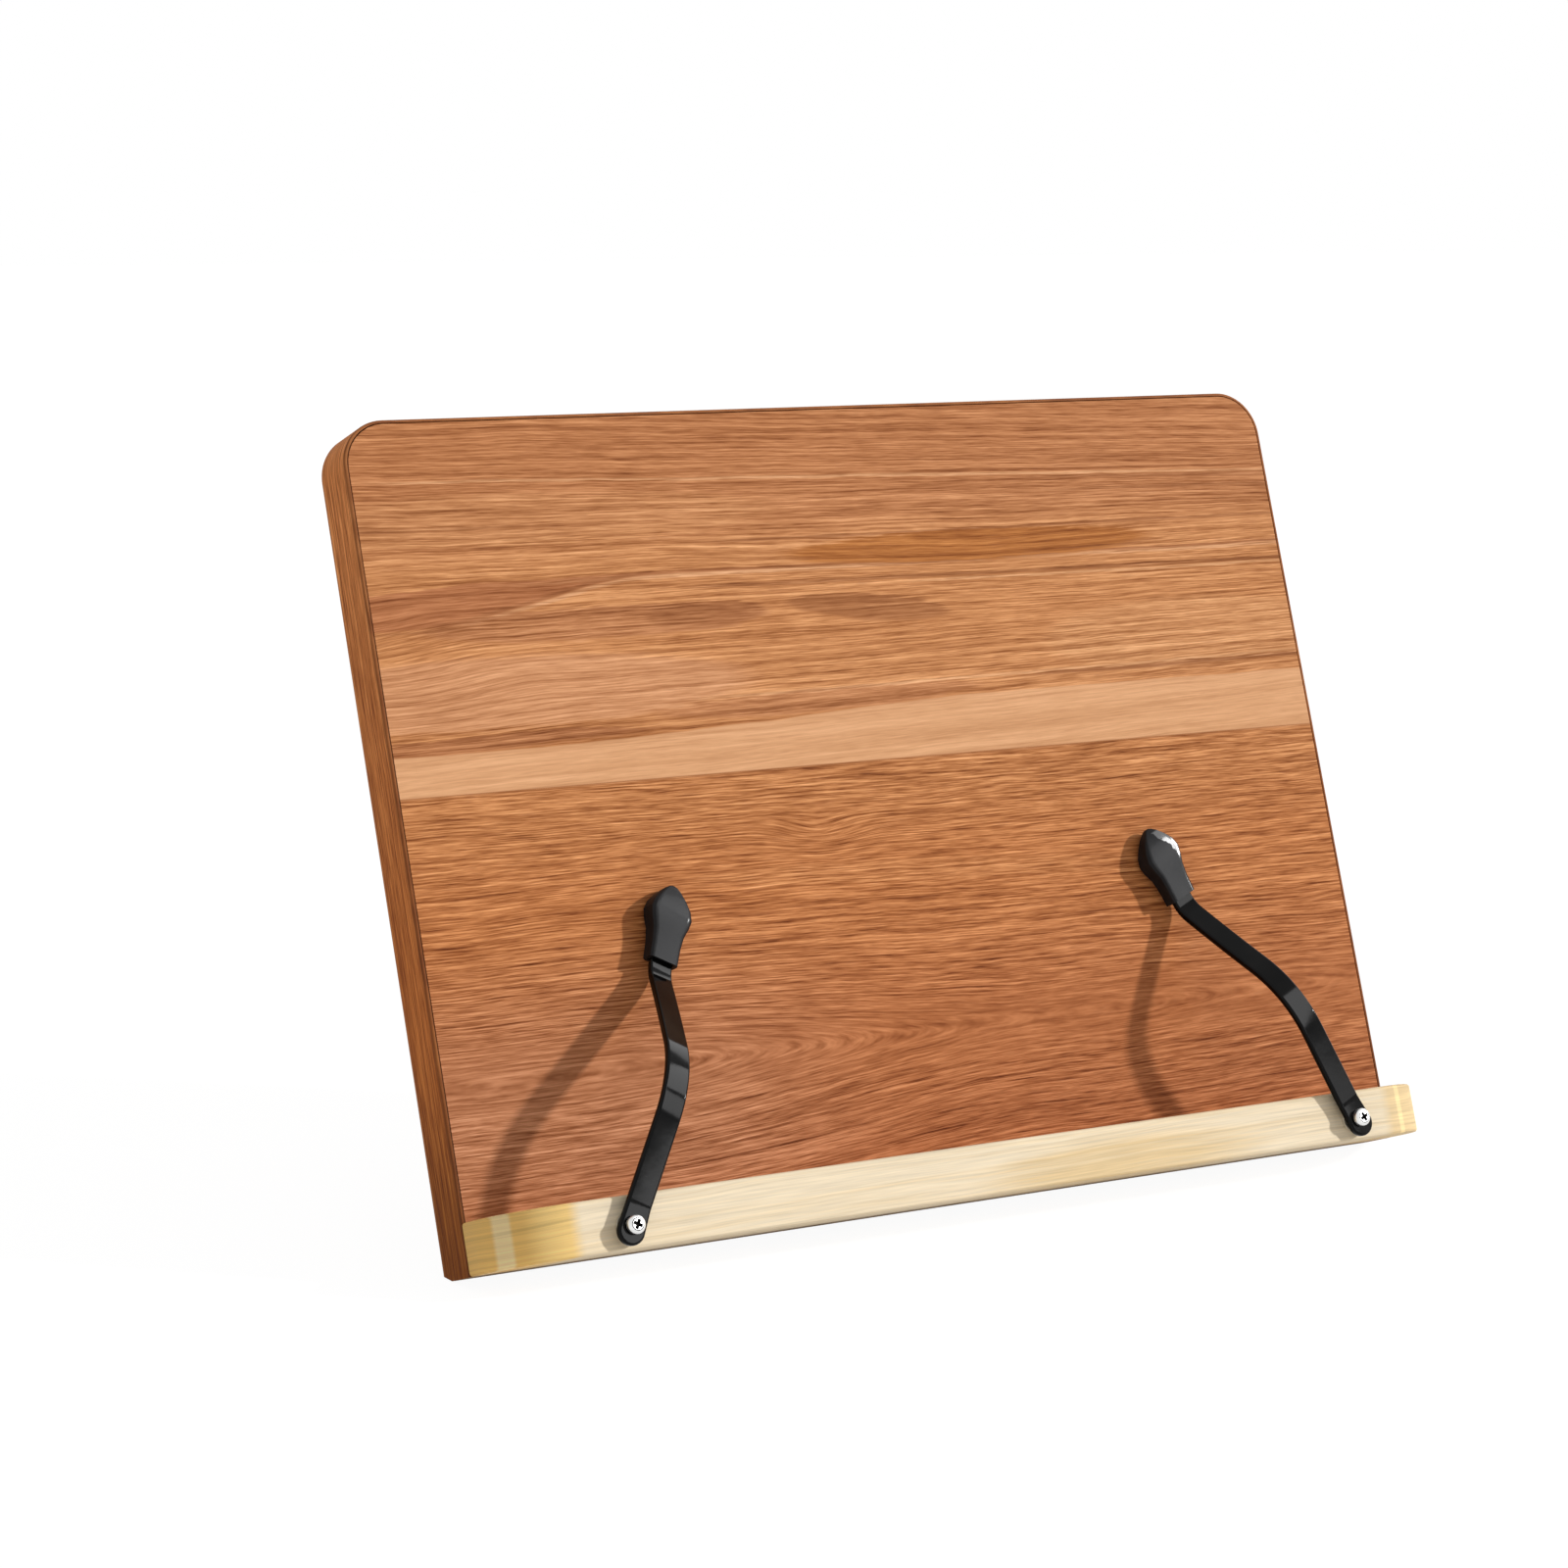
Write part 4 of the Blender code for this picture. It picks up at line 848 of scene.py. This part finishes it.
@cache
def rubber_material():
    """Moulded black rubber with a fine matt skin, and a mirror-like patch on the shoulder of the
    right cap for a painted highlight.
    """
    finish = Finish("moulded_rubber")
    point = finish.spot()
    grit, cloud = finish.noise(point, 6.0, 3.0), finish.noise(point, 0.25)
    tint = finish.mix(cloud.fade(0.35, 0.7), tone("rubber"), (0.014, 0.014, 0.015))
    finish.bump(grit, 0.10)
    # The shoulder patch for the painted highlight, in millimetres across and along the right clip
    # from its screw
    across, along, _ = finish.axes(clip_place("right"))
    ragged = (finish.noise(point, 0.9) - 0.5) * 2.0
    rim = across + (along - 48.0) * -0.105 + ragged + along.fade(83.0, 91.0, 0.0, 3.4)
    highlight_patch = rim.fade(3.2, 3.6) * along.fade(80.5, 82.0) * along.fade(90.4, 89.8)
    # Painted highlight: the coat is mirror-like only on this patch, so that a lamp shows there as a
    # highlight
    finish.set(Coat_Weight=highlight_patch * 0.98 + 0.02, Coat_Roughness=cloud * 0.08 + 0.10, Coat_IOR=2.2)
    return finish.set(Base_Color=tint, Roughness=cloud * 0.12 + 0.45, Specular_IOR_Level=0.11)


@cache
def steel_material():
    """Bright zinc plate with fine scratches and a little clouding."""
    finish = Finish("plated_steel")
    x, y, z = finish.axes(Matrix())
    cloud = finish.noise(finish.point(x, y, z), 0.35, 3.0)
    scratch = finish.noise(finish.point(x * 0.15, y * 5.0, z * 5.0))
    finish.bump(scratch, 0.05)
    tint = finish.shade(tone("steel"), cloud * 0.35 + 0.80)
    return finish.set(Base_Color=tint, Roughness=cloud * 0.16 + 0.22 + scratch * 0.08, Metallic=1.0)


@cache
def recess_shade_material():
    """Steel inside a driver recess, painted dark for the shade in the hollow."""
    finish = Finish("recess_steel")
    shade_mottle = finish.noise(finish.spot(), 2.0, 3.0)
    tint = finish.mix(shade_mottle, (0.020, 0.020, 0.020), (0.060, 0.058, 0.055))
    finish.bump(shade_mottle, 0.05)
    return finish.set(Base_Color=tint, Roughness=shade_mottle * 0.2 + 0.45, Metallic=1.0)


@cache
def wire_material():
    """Black plating on the wire stay, a little worn."""
    finish = Finish("black_wire")
    point = finish.spot()
    cloud, speck = finish.noise(point, 0.2, 3.0), finish.noise(point, 2.5, 3.0)
    tint = finish.mix(speck.fade(0.60, 0.80), (0.018, 0.018, 0.019), (0.07, 0.07, 0.07))
    finish.bump(speck, 0.06)
    return finish.set(Base_Color=tint, Roughness=cloud * 0.16 + 0.26)


# Pieces


class BOOK_STAND_OT_board(bpy.types.Operator):
    """Lay the wood foil on the board"""
    bl_idname = "book_stand.board"
    bl_label = "Board"

    def execute(self, context):
        node = frame["nodes"]["reading_board"]
        node.data.materials.clear()
        node.data.materials.append(foil_material())
        return {"FINISHED"}


def lay_grain(band, half, radius, shoulder):
    """Unroll the band's path into a map: metres along it, and across its width."""
    layer = band.data.uv_layers.new(name="Along")
    top = shoulder + radius * RIGHT_ANGLE
    whole = 2 * (top + half - radius)
    for loop in band.data.loops:
        spot = band.data.vertices[loop.vertex_index].co
        x, y = half - abs(spot.x), spot.y
        if y <= shoulder:
            along = y
        elif x < radius:
            along = shoulder + radius * atan2(y - shoulder, radius - x)
        else:
            along = top + x - radius
        layer.data[loop.index].uv = (along if spot.x < 0.0 else whole - along, spot.z)


class BOOK_STAND_OT_edge_band(bpy.types.Operator):
    """Bend the edge band round the board's left, top and right edges"""
    bl_idname = "book_stand.edge_band"
    bl_label = "Edge band"

    def execute(self, context):
        board = sizes("board")
        half = board.width / 2
        radius = board.corner_radius
        shoulder = board.height - radius
        high = (board.band_thickness - half, shoulder, 0.0)
        band = add_block("edge_band_strip", (-half, 0.0, -board.thickness), high)

        def outer(one, two):
            return max(one.x, two.x) < NEAR - half and abs(one.y - two.y) > radius

        round_edges(band, board.band_round, 4, outer)
        pick_faces(band, Y)
        bend(-RIGHT_ANGLE, (radius - half, shoulder, 0.0), Z, BAND_STEPS)
        extrude((board.width - 2 * radius, 0.0, 0.0))
        bend(-RIGHT_ANGLE, (half - radius, shoulder, 0.0), Z, BAND_STEPS)
        extrude((0.0, -shoulder, 0.0))
        tidy_mesh(band)

        foot = (board.thickness - board.foot_width * cos(board.lean)) * sin(board.lean)
        up = Vector((0.0, cos(board.lean), sin(board.lean)))
        pick_parts(band, "FACE", lambda face: True)
        cut = up * (board.seat_gap - foot)
        bpy.ops.mesh.bisect(plane_co=cut, plane_no=up, use_fill=True, clear_inner=True)
        tidy_mesh(band)
        lay_grain(band, half, radius, shoulder)
        smooth(band, 30.0)
        place_piece(band, board_place())
        finish_piece(band, band_material(), "edge_band", "edge_band")
        return {"FINISHED"}


class BOOK_STAND_OT_ledge(bpy.types.Operator):
    """Shape the pine ledge with its round front corners"""
    bl_idname = "book_stand.ledge"
    bl_label = "Ledge"

    def execute(self, context):
        ledge = sizes("ledge")
        half, back = sizes("board").width / 2, sizes("board").seat_gap
        strip = add_block("ledge_strip", (-half, 0.0, back), (half, ledge.height, ledge.depth))

        def corner(one, two):
            return min(one.z, two.z) > ledge.depth - NEAR and abs(one.y - two.y) > NEAR

        def rim(one, two):
            return max(one.z, two.z) > back + NEAR and abs(one.y - two.y) < NEAR

        round_edges(strip, ledge.corner_radius, 32, corner)
        round_edges(strip, ledge.edge_round, 3, rim)
        tidy_mesh(strip)
        smooth(strip)
        place_piece(strip, board_place())
        finish_piece(strip, pine_material(), "pine", "ledge")
        return {"FINISHED"}


TIP_WIDEST_SHARE = 0.62
TIP_SHARES = (
    # shares of the cap's length, width and thickness
    (0.00, 0.69, 0.80),
    (0.22, 0.70, 0.84),
    (0.38, 0.76, 0.92),
    (0.52, 0.93, 0.99),
    (TIP_WIDEST_SHARE, 1.00, 1.00),
    (0.73, 0.90, 0.92),
    (0.84, 0.66, 0.74),
    (0.93, 0.40, 0.52),
    (0.98, 0.20, 0.34),
    (1.00, 0.08, 0.20),
)
TIP_FIRST_STEP = 0.04
TIP_ROUNDINGS = (
    # front or back, radius as a share of the thickness, segments
    (1.0, 0.22, 3),
    (-1.0, 0.10, 1),
)
TIP_WALL, TIP_EASE = 0.16, 0.045  # wall round its mouth and eased edges, shares of its thickness
TIP_MOUTH = 0.06  # depth of its mouth, as a share of its length
STRIP_STEP = 4.0 / MM  # length of the strip's straight sections
ALMOST = 0.995  # share of half the strip's width that its round end takes


def strip_moves():
    """The clip strip's run, as straight lengths and bends, to its end just over the board."""
    clip = sizes("clip")
    rise = clip.kick_radius * (1.0 - cos(clip.kick)) + clip.rise * sin(clip.kick)
    crown = clip.crown_radius * (cos(clip.kick) - cos(clip.drop))
    sole = clip.foot_radius * (cos(clip.foot) - cos(clip.drop))
    inside = clip.tip_length * TIP_WIDEST_SHARE * sin(clip.foot)
    top = sizes("ledge").depth + clip.strip_height + rise - crown
    bottom = sizes("board").seat_gap + clip.tip_thickness / 2 + inside + sole
    return (
        # length, radius, angle
        (0.0, clip.kick_radius, clip.kick),
        (clip.rise, 0.0, 0.0),
        (0.0, clip.crown_radius, -clip.kick - clip.drop),
        ((top - bottom) / sin(clip.drop), 0.0, 0.0),
        (0.0, clip.foot_radius, clip.drop - clip.foot),
        (clip.end_length, 0.0, 0.0),
    )


def strip_stations():
    """Where each move of the strip starts, and the last ends: along, out, and the heading there."""
    y, z, heading = sizes("clip").flat, sizes("clip").strip_height, 0.0
    stations = [(y, z, heading)]
    for length, radius, angle in strip_moves():
        reach = copysign(radius, angle)
        y += length * cos(heading) - reach * sin(heading)
        z += length * sin(heading) + reach * cos(heading)
        heading += angle
        y += reach * sin(heading)
        z -= reach * cos(heading)
        stations.append((y, z, heading))
    return stations


def set_sideways(item, side):
    """Bend a clip's strip or cap a little in plan, as its maker did by hand."""
    clip = sizes("clip")
    run = clip.set_end - clip.set_start
    slope = tan(clip.set_turn) * (-1.0 if side == "left" else 1.0)
    for vertex in item.data.vertices:
        bent = between(vertex.co.y, clip.set_start, clip.set_end, 0.0, run)
        beyond = max(vertex.co.y - clip.set_end, 0.0)
        vertex.co.x += slope * (bent * bent / run / 2 + beyond)


def bend_strip(side):
    """Round off a flat strip, then extrude and spin its end along the clip's run."""
    clip = sizes("clip")
    half = clip.eye_width / 2
    low = (-half, -clip.tail, clip.strip_height - clip.thickness / 2)
    high = (half, clip.flat, clip.strip_height + clip.thickness / 2)
    arm = add_block(side + "_clip_strip", low, high)

    def eye(one, two):
        return max(one.y, two.y) < NEAR - clip.tail and abs(one.z - two.z) > NEAR

    def rim(one, two):
        return min(one.y, two.y) < clip.flat - NEAR and abs(one.z - two.z) < NEAR

    round_edges(arm, half * ALMOST, 14, eye)
    round_edges(arm, clip.edge_round, 4, rim)
    pick_faces(arm, Y)
    for (length, radius, angle), (y, z, heading) in zip(strip_moves(), strip_stations()):
        if radius == 0.0:
            count = max(1, round(length / STRIP_STEP))
            for _ in range(count):
                extrude(Vector((0.0, cos(heading), sin(heading))) * length / count)
        else:
            reach = copysign(radius, angle)
            centre = (0.0, y - reach * sin(heading), z + reach * cos(heading))
            bend(angle, centre, X, clip.bend_steps)
    tidy_mesh(arm)
    return arm


def taper(arm):
    """Narrow the strip from its eye to its root, and on to its end."""
    clip = sizes("clip")
    eye, root = clip.eye_width, clip.root_width
    end = strip_stations()[-1][0]
    for vertex in arm.data.vertices:
        along = vertex.co.y
        if along < clip.flat:
            width = between(along, eye / 2 - clip.tail, clip.flat, eye, root)
        else:
            width = root + (clip.end_width - root) * (along - clip.flat) / (end - clip.flat)
        vertex.co.x *= width / eye


class BOOK_STAND_OT_clip_arms(bpy.types.Operator):
    """Bend both clip arms from flat strip"""
    bl_idname = "book_stand.clip_arms"
    bl_label = "Clip arms"

    def execute(self, context):
        for side in SIDES:
            arm = bend_strip(side)
            taper(arm)
            set_sideways(arm, side)
            smooth(arm, 40.0)
            place_piece(arm, clip_place(side))
            finish_piece(arm, paint_material(), "black_steel", side + "_clip_arm")
        return {"FINISHED"}


def mould_cap(side):
    """Extrude a rounded block station by station to the cap's leaf shape."""
    clip = sizes("clip")
    _, width, depth = TIP_SHARES[0]
    step = clip.tip_length * TIP_FIRST_STEP
    half = Vector((clip.tip_width * width / 2, 0.0, clip.tip_thickness * depth / 2))
    tip = add_block(side + "_clip_cap", -half, half + Y * step)
    for face, rounding, segments in TIP_ROUNDINGS:
        round_edges(
            tip, clip.tip_thickness * rounding, segments,
            lambda one, two: abs(one.y - two.y) > step / 2 and one.z * face > 0.0,
        )
    pick_faces(tip, Y)
    last = (TIP_FIRST_STEP, width, depth)
    for share in TIP_SHARES[1:]:
        extrude(Y * ((share[0] - last[0]) * clip.tip_length))
        shrink((share[1] / last[1], 1.0, share[2] / last[2]), Y * (share[0] * clip.tip_length))
        last = share
    pick_faces(tip, -Y)
    bpy.ops.mesh.inset(thickness=clip.tip_thickness * TIP_WALL, depth=0.0)
    extrude(Y * (clip.tip_length * TIP_MOUTH))
    tidy_mesh(tip)
    ease_edges(tip, clip.tip_thickness * TIP_EASE, 3, 26.0)
    smooth(tip, 30.0)
    return tip


class BOOK_STAND_OT_clip_tips(bpy.types.Operator):
    """Mould the rubber caps on the clip arms' ends"""
    bl_idname = "book_stand.clip_tips"
    bl_label = "Clip caps"

    def execute(self, context):
        y, z, heading = strip_stations()[-2]
        entry = Matrix.Translation((0.0, y, z)) @ Matrix.Rotation(heading, 4, "X")
        for side in SIDES:
            tip = mould_cap(side)
            place_piece(tip, entry)
            set_sideways(tip, side)
            place_piece(tip, clip_place(side))
            finish_piece(tip, rubber_material(), "black_rubber", side + "_clip_tip")
        return {"FINISHED"}


SCREW_DOME = 0.55  # rounding of the head, as a share of its height
SCREW_BODY, SCREW_POINT = 0.8, 0.1  # share of the length that is full, and of the shank at its tip
# The driver recess, in shares of the head's radius and height, and how much it narrows to its floor
RECESS_REACH, RECESS_WIDTH, RECESS_DEPTH, RECESS_DRAFT = 0.70, 0.25, 0.85, 0.55
RECESS_RIM = 0.36  # share of the head's diameter inside which its walls lie


def turn_screw(side):
    """A pan head with a cross recess, over a pointed shank."""
    clip = sizes("clip")
    radius, height = clip.screw_head / 2, clip.screw_head_height
    screw = add_drum(side + "_clip_bolt", radius, 0.0, height, SCREW_SIDES)
    round_edges(screw, height * SCREW_DOME, 6, lambda one, two: min(one.z, two.z) > height - NEAR)
    pick_faces(screw, -Z)
    bpy.ops.mesh.inset(thickness=radius - clip.screw_shank / 2, depth=0.0)
    extrude(Z * (-clip.screw_length * SCREW_BODY))
    extrude(Z * (-clip.screw_length * (1.0 - SCREW_BODY)))
    point = clip.screw_shank / clip.screw_head * SCREW_POINT
    shrink((point, point, 1.0), Z * -clip.screw_length)
    tidy_mesh(screw)
    reach, wide = radius * RECESS_REACH, radius * RECESS_WIDTH
    floor = height - height * RECESS_DEPTH
    for half_x, half_y in ((reach, wide), (wide, reach)):
        blade = add_block("driver_blade", (-half_x, -half_y, floor), (half_x, half_y, height * 2))
        pick_faces(blade, -Z)
        shrink((RECESS_DRAFT, RECESS_DRAFT, 1.0), Z * floor)
        bpy.ops.object.mode_set(mode="OBJECT")
        apply_modifier(screw, "BOOLEAN", operation="DIFFERENCE", solver="EXACT", object=blade)
        bpy.data.objects.remove(blade, do_unlink=True)
    smooth(screw)
    return screw


def darken_recess(screw):
    """Give the walls of the driver recess their own, darker finish, which paints the shade in the
    hollow.
    """
    clip = sizes("clip")
    screw.data.materials.append(recess_shade_material())
    for face in screw.data.polygons:
        x, y, z = face.center
        if 0.0 < z < clip.screw_head_height - NEAR and hypot(x, y) < clip.screw_head * RECESS_RIM:
            face.material_index = 1


class BOOK_STAND_OT_clip_screws(bpy.types.Operator):
    """Turn the clip screws and lay their washers"""
    bl_idname = "book_stand.clip_screws"
    bl_label = "Clip screws and washers"

    def execute(self, context):
        clip = sizes("clip")
        seat = clip.strip_height + clip.thickness / 2 + sizes("board").seat_gap
        for side in SIDES:
            screw = turn_screw(side)
            finish_piece(screw, steel_material(), "bright_steel", side + "_clip_screw")
            darken_recess(screw)
            place_piece(screw, clip_place(side) @ Matrix.Translation(Z * seat))
            dress_steel(side + "_clip_washer")
        return {"FINISHED"}


class BOOK_STAND_OT_leg(bpy.types.Operator):
    """Face the rear leg and seat its rubber pads"""
    bl_idname = "book_stand.leg"
    bl_label = "Leg and pads"

    def execute(self, context):
        board = sizes("board")
        dress("rear_leg", leg_material(), "wood_foil", 20.0, board.leg_round)
        for side in SIDES:
            dress("leg_pad_" + side, rubber_material(), "black_rubber", rounding=board.pad_round)
        return {"FINISHED"}


class BOOK_STAND_OT_hinges(bpy.types.Operator):
    """Dress the two hinges and all their screws"""
    bl_idname = "book_stand.hinges"
    bl_label = "Hinges and screws"

    def execute(self, context):
        dress_steel("_hinge_", "ledge_screw")
        return {"FINISHED"}


class BOOK_STAND_OT_stay(bpy.types.Operator):
    """Bend the wire stay and dress its saddles"""
    bl_idname = "book_stand.stay"
    bl_label = "Wire stay and saddles"

    def execute(self, context):
        stay = sizes("stay")
        place, length = stay_place()
        radius, half = stay.bend_radius, stay.half_width
        outer = half + stay.stub
        wire = add_drum("stay_wire", stay.wire / 2, -outer, -half - radius, WIRE_SIDES, X)
        pick_faces(wire, X)
        far = length - radius
        for sense, x, y, run in (
            # way of the bend, its middle, and the straight length after it
            (1, -half - radius, radius, Y * (length - 2 * radius)),
            (-1, radius - half, far, X * (2 * (half - radius))),
            (-1, half - radius, far, Y * (2 * radius - length)),
            (1, half + radius, radius, X * (stay.stub - radius)),
        ):
            bend(sense * RIGHT_ANGLE, (x, y, 0.0), Z, WIRE_STEPS)
            extrude(run)
        tidy_mesh(wire)

        def tip(one, two):
            return min(abs(one.x), abs(two.x)) > outer - NEAR

        round_edges(wire, stay.wire * WIRE_EASE, 2, tip)
        tidy_mesh(wire)
        smooth(wire)
        place_piece(wire, place)
        finish_piece(wire, wire_material(), "black_steel", "wire_stay")
        dress_steel("_saddle")
        return {"FINISHED"}


WHITE = (1.0, 1.0, 1.0)
FLOOR_SIZE = 24.0
KEY_TOWARDS = Vector((0.726, -0.561, 0.398))
KEY_STRENGTH = 2.15
KEY_SPREAD = 3.2  # degrees
WORLD_STRENGTH = 0.40
CAMERA_PLACE = (-0.54463, -0.88144, 0.26104)
CAMERA_TURN = (81.501, 0.0, -30.476)  # degrees
CAMERA_SENSOR, CAMERA_LENS = 36.0, 91.636  # millimetres
PANEL_DISTANCE = 8.0
PANELS = (
    # name, azimuth, elevation, width and height in degrees, radiance
    ("window_far", 12.5, 35.0, 28.0, 13.0, 4.0),
    ("window_middle", -31.0, 36.0, 26.0, 14.0, 8.0),
    ("window_near", -57.5, 32.0, 13.0, 34.0, 6.5),
    ("sill_left", -69.0, 8.3, 13.0, 6.6, 6.5),
    ("sill_right", -47.0, 6.6, 10.0, 5.1, 3.0),
)


def hang_lamp():
    """A far lamp with soft shadows."""
    lamp = bpy.data.lights.new("key_lamp", "SUN")
    lamp.energy = KEY_STRENGTH
    lamp.angle = radians(KEY_SPREAD)
    add_object("key_lamp", lamp).rotation_euler = KEY_TOWARDS.to_track_quat("Z", "Y").to_euler()


def hang_panel(name, azimuth, elevation, wide, high, radiance):
    """A window pane that only gloss shows: where it hangs, its span and how bright it is."""
    azimuth, elevation, wide, high = (radians(angle) for angle in (azimuth, elevation, wide, high))
    level = cos(elevation)
    towards = Vector((cos(azimuth) * level, sin(azimuth) * level, sin(elevation)))
    lamp = bpy.data.lights.new(name, "AREA")
    lamp.shape = "RECTANGLE"
    lamp.size = 2 * PANEL_DISTANCE * tan(wide / 2)
    lamp.size_y = 2 * PANEL_DISTANCE * tan(high / 2)
    lamp.energy = radiance * pi * lamp.size * lamp.size_y
    item = add_object(name, lamp)
    item.location = towards * PANEL_DISTANCE
    item.rotation_euler = towards.to_track_quat("Z", "Y").to_euler()
    item.visible_diffuse = False
    item.visible_camera = False


def floor_material():
    """A white floor that still takes the stand's shadow."""
    finish = Finish("pale_floor")
    finish.set(Base_Color=(0.86, 0.86, 0.86), Roughness=0.9)
    glow = finish.node("Emission", {"Color": WHITE, "Strength": 1.12})
    finish.blend(finish.seen() * 0.84, "Principled BSDF", glow, "Material Output")
    return finish.owner


def light_world():
    """Even light all round, seen as white by the camera and in gloss."""
    sky = Finish("studio", "worlds")
    bpy.context.scene.world = sky.owner
    ground = sky.tree.nodes["Background"]
    sky.feed(ground.inputs["Color"], WHITE)
    sky.feed(ground.inputs["Strength"], WORLD_STRENGTH)
    white = sky.node("Background", {"Color": WHITE, "Strength": 1.0})
    sky.blend(sky.seen(), "Background", white, "World Output")


class BOOK_STAND_OT_stage(bpy.types.Operator):
    """Lay the floor, hang the lamps and set the camera"""
    bl_idname = "book_stand.stage"
    bl_label = "Floor, lamps and camera"

    def execute(self, context):
        deselect_all()
        bpy.ops.mesh.primitive_plane_add(size=FLOOR_SIZE, location=(0.0, 0.0, 0.0))
        floor = context.object
        floor.name = "floor"
        floor.data.materials.append(floor_material())
        hang_lamp()
        for panel in PANELS:
            hang_panel(*panel)
        light_world()
        camera = add_object("camera", bpy.data.cameras.new("camera"))
        camera.location = CAMERA_PLACE
        camera.rotation_euler = [radians(angle) for angle in CAMERA_TURN]
        camera.data.sensor_width = CAMERA_SENSOR
        camera.data.lens = CAMERA_LENS
        camera.data.clip_start = 0.01
        context.scene.camera = camera
        context.scene.view_settings.view_transform = "Standard"
        return {"FINISHED"}


class BOOK_STAND_PT_panel(bpy.types.Panel):
    """The stand's pieces, sizes and colours"""
    bl_idname = "BOOK_STAND_PT_panel"
    bl_label = "Book stand"
    bl_space_type = "VIEW_3D"
    bl_region_type = "UI"
    bl_category = "Book stand"

    def draw(self, context):
        column = self.layout.column(align=True)
        for operator in OPERATORS:
            column.operator(operator.bl_idname)
        for name, group in GROUPS.items():
            box = self.layout.box()
            for key in group.__annotations__:
                box.prop(sizes(name), key)


OPERATORS = (
    BOOK_STAND_OT_board,
    BOOK_STAND_OT_edge_band,
    BOOK_STAND_OT_ledge,
    BOOK_STAND_OT_clip_arms,
    BOOK_STAND_OT_clip_tips,
    BOOK_STAND_OT_clip_screws,
    BOOK_STAND_OT_leg,
    BOOK_STAND_OT_hinges,
    BOOK_STAND_OT_stay,
    BOOK_STAND_OT_stage,
)
GROUPS = {
    "board": BookStandBoardSizes,
    "ledge": BookStandLedgeSizes,
    "clip": BookStandClipSizes,
    "stay": BookStandStaySizes,
    "colours": BookStandColours,
}


def register():
    """Add the stand's sizes, operators and panel to Blender."""
    for name, group in GROUPS.items():
        bpy.utils.register_class(group)
        setattr(bpy.types.Scene, "book_stand_" + name, PointerProperty(type=group))
    for item in (*OPERATORS, BOOK_STAND_PT_panel):
        bpy.utils.register_class(item)


def unregister():
    """Take them out again."""
    for item in (BOOK_STAND_PT_panel, *reversed(OPERATORS)):
        bpy.utils.unregister_class(item)
    for name, group in GROUPS.items():
        delattr(bpy.types.Scene, "book_stand_" + name)
        bpy.utils.unregister_class(group)


def main():
    """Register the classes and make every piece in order."""
    register()
    bpy.ops.book_stand.board()
    bpy.ops.book_stand.edge_band()
    bpy.ops.book_stand.ledge()
    bpy.ops.book_stand.clip_arms()
    bpy.ops.book_stand.clip_tips()
    bpy.ops.book_stand.clip_screws()
    bpy.ops.book_stand.leg()
    bpy.ops.book_stand.hinges()
    bpy.ops.book_stand.stay()
    bpy.ops.book_stand.stage()


if __name__ == "__main__":
    main()
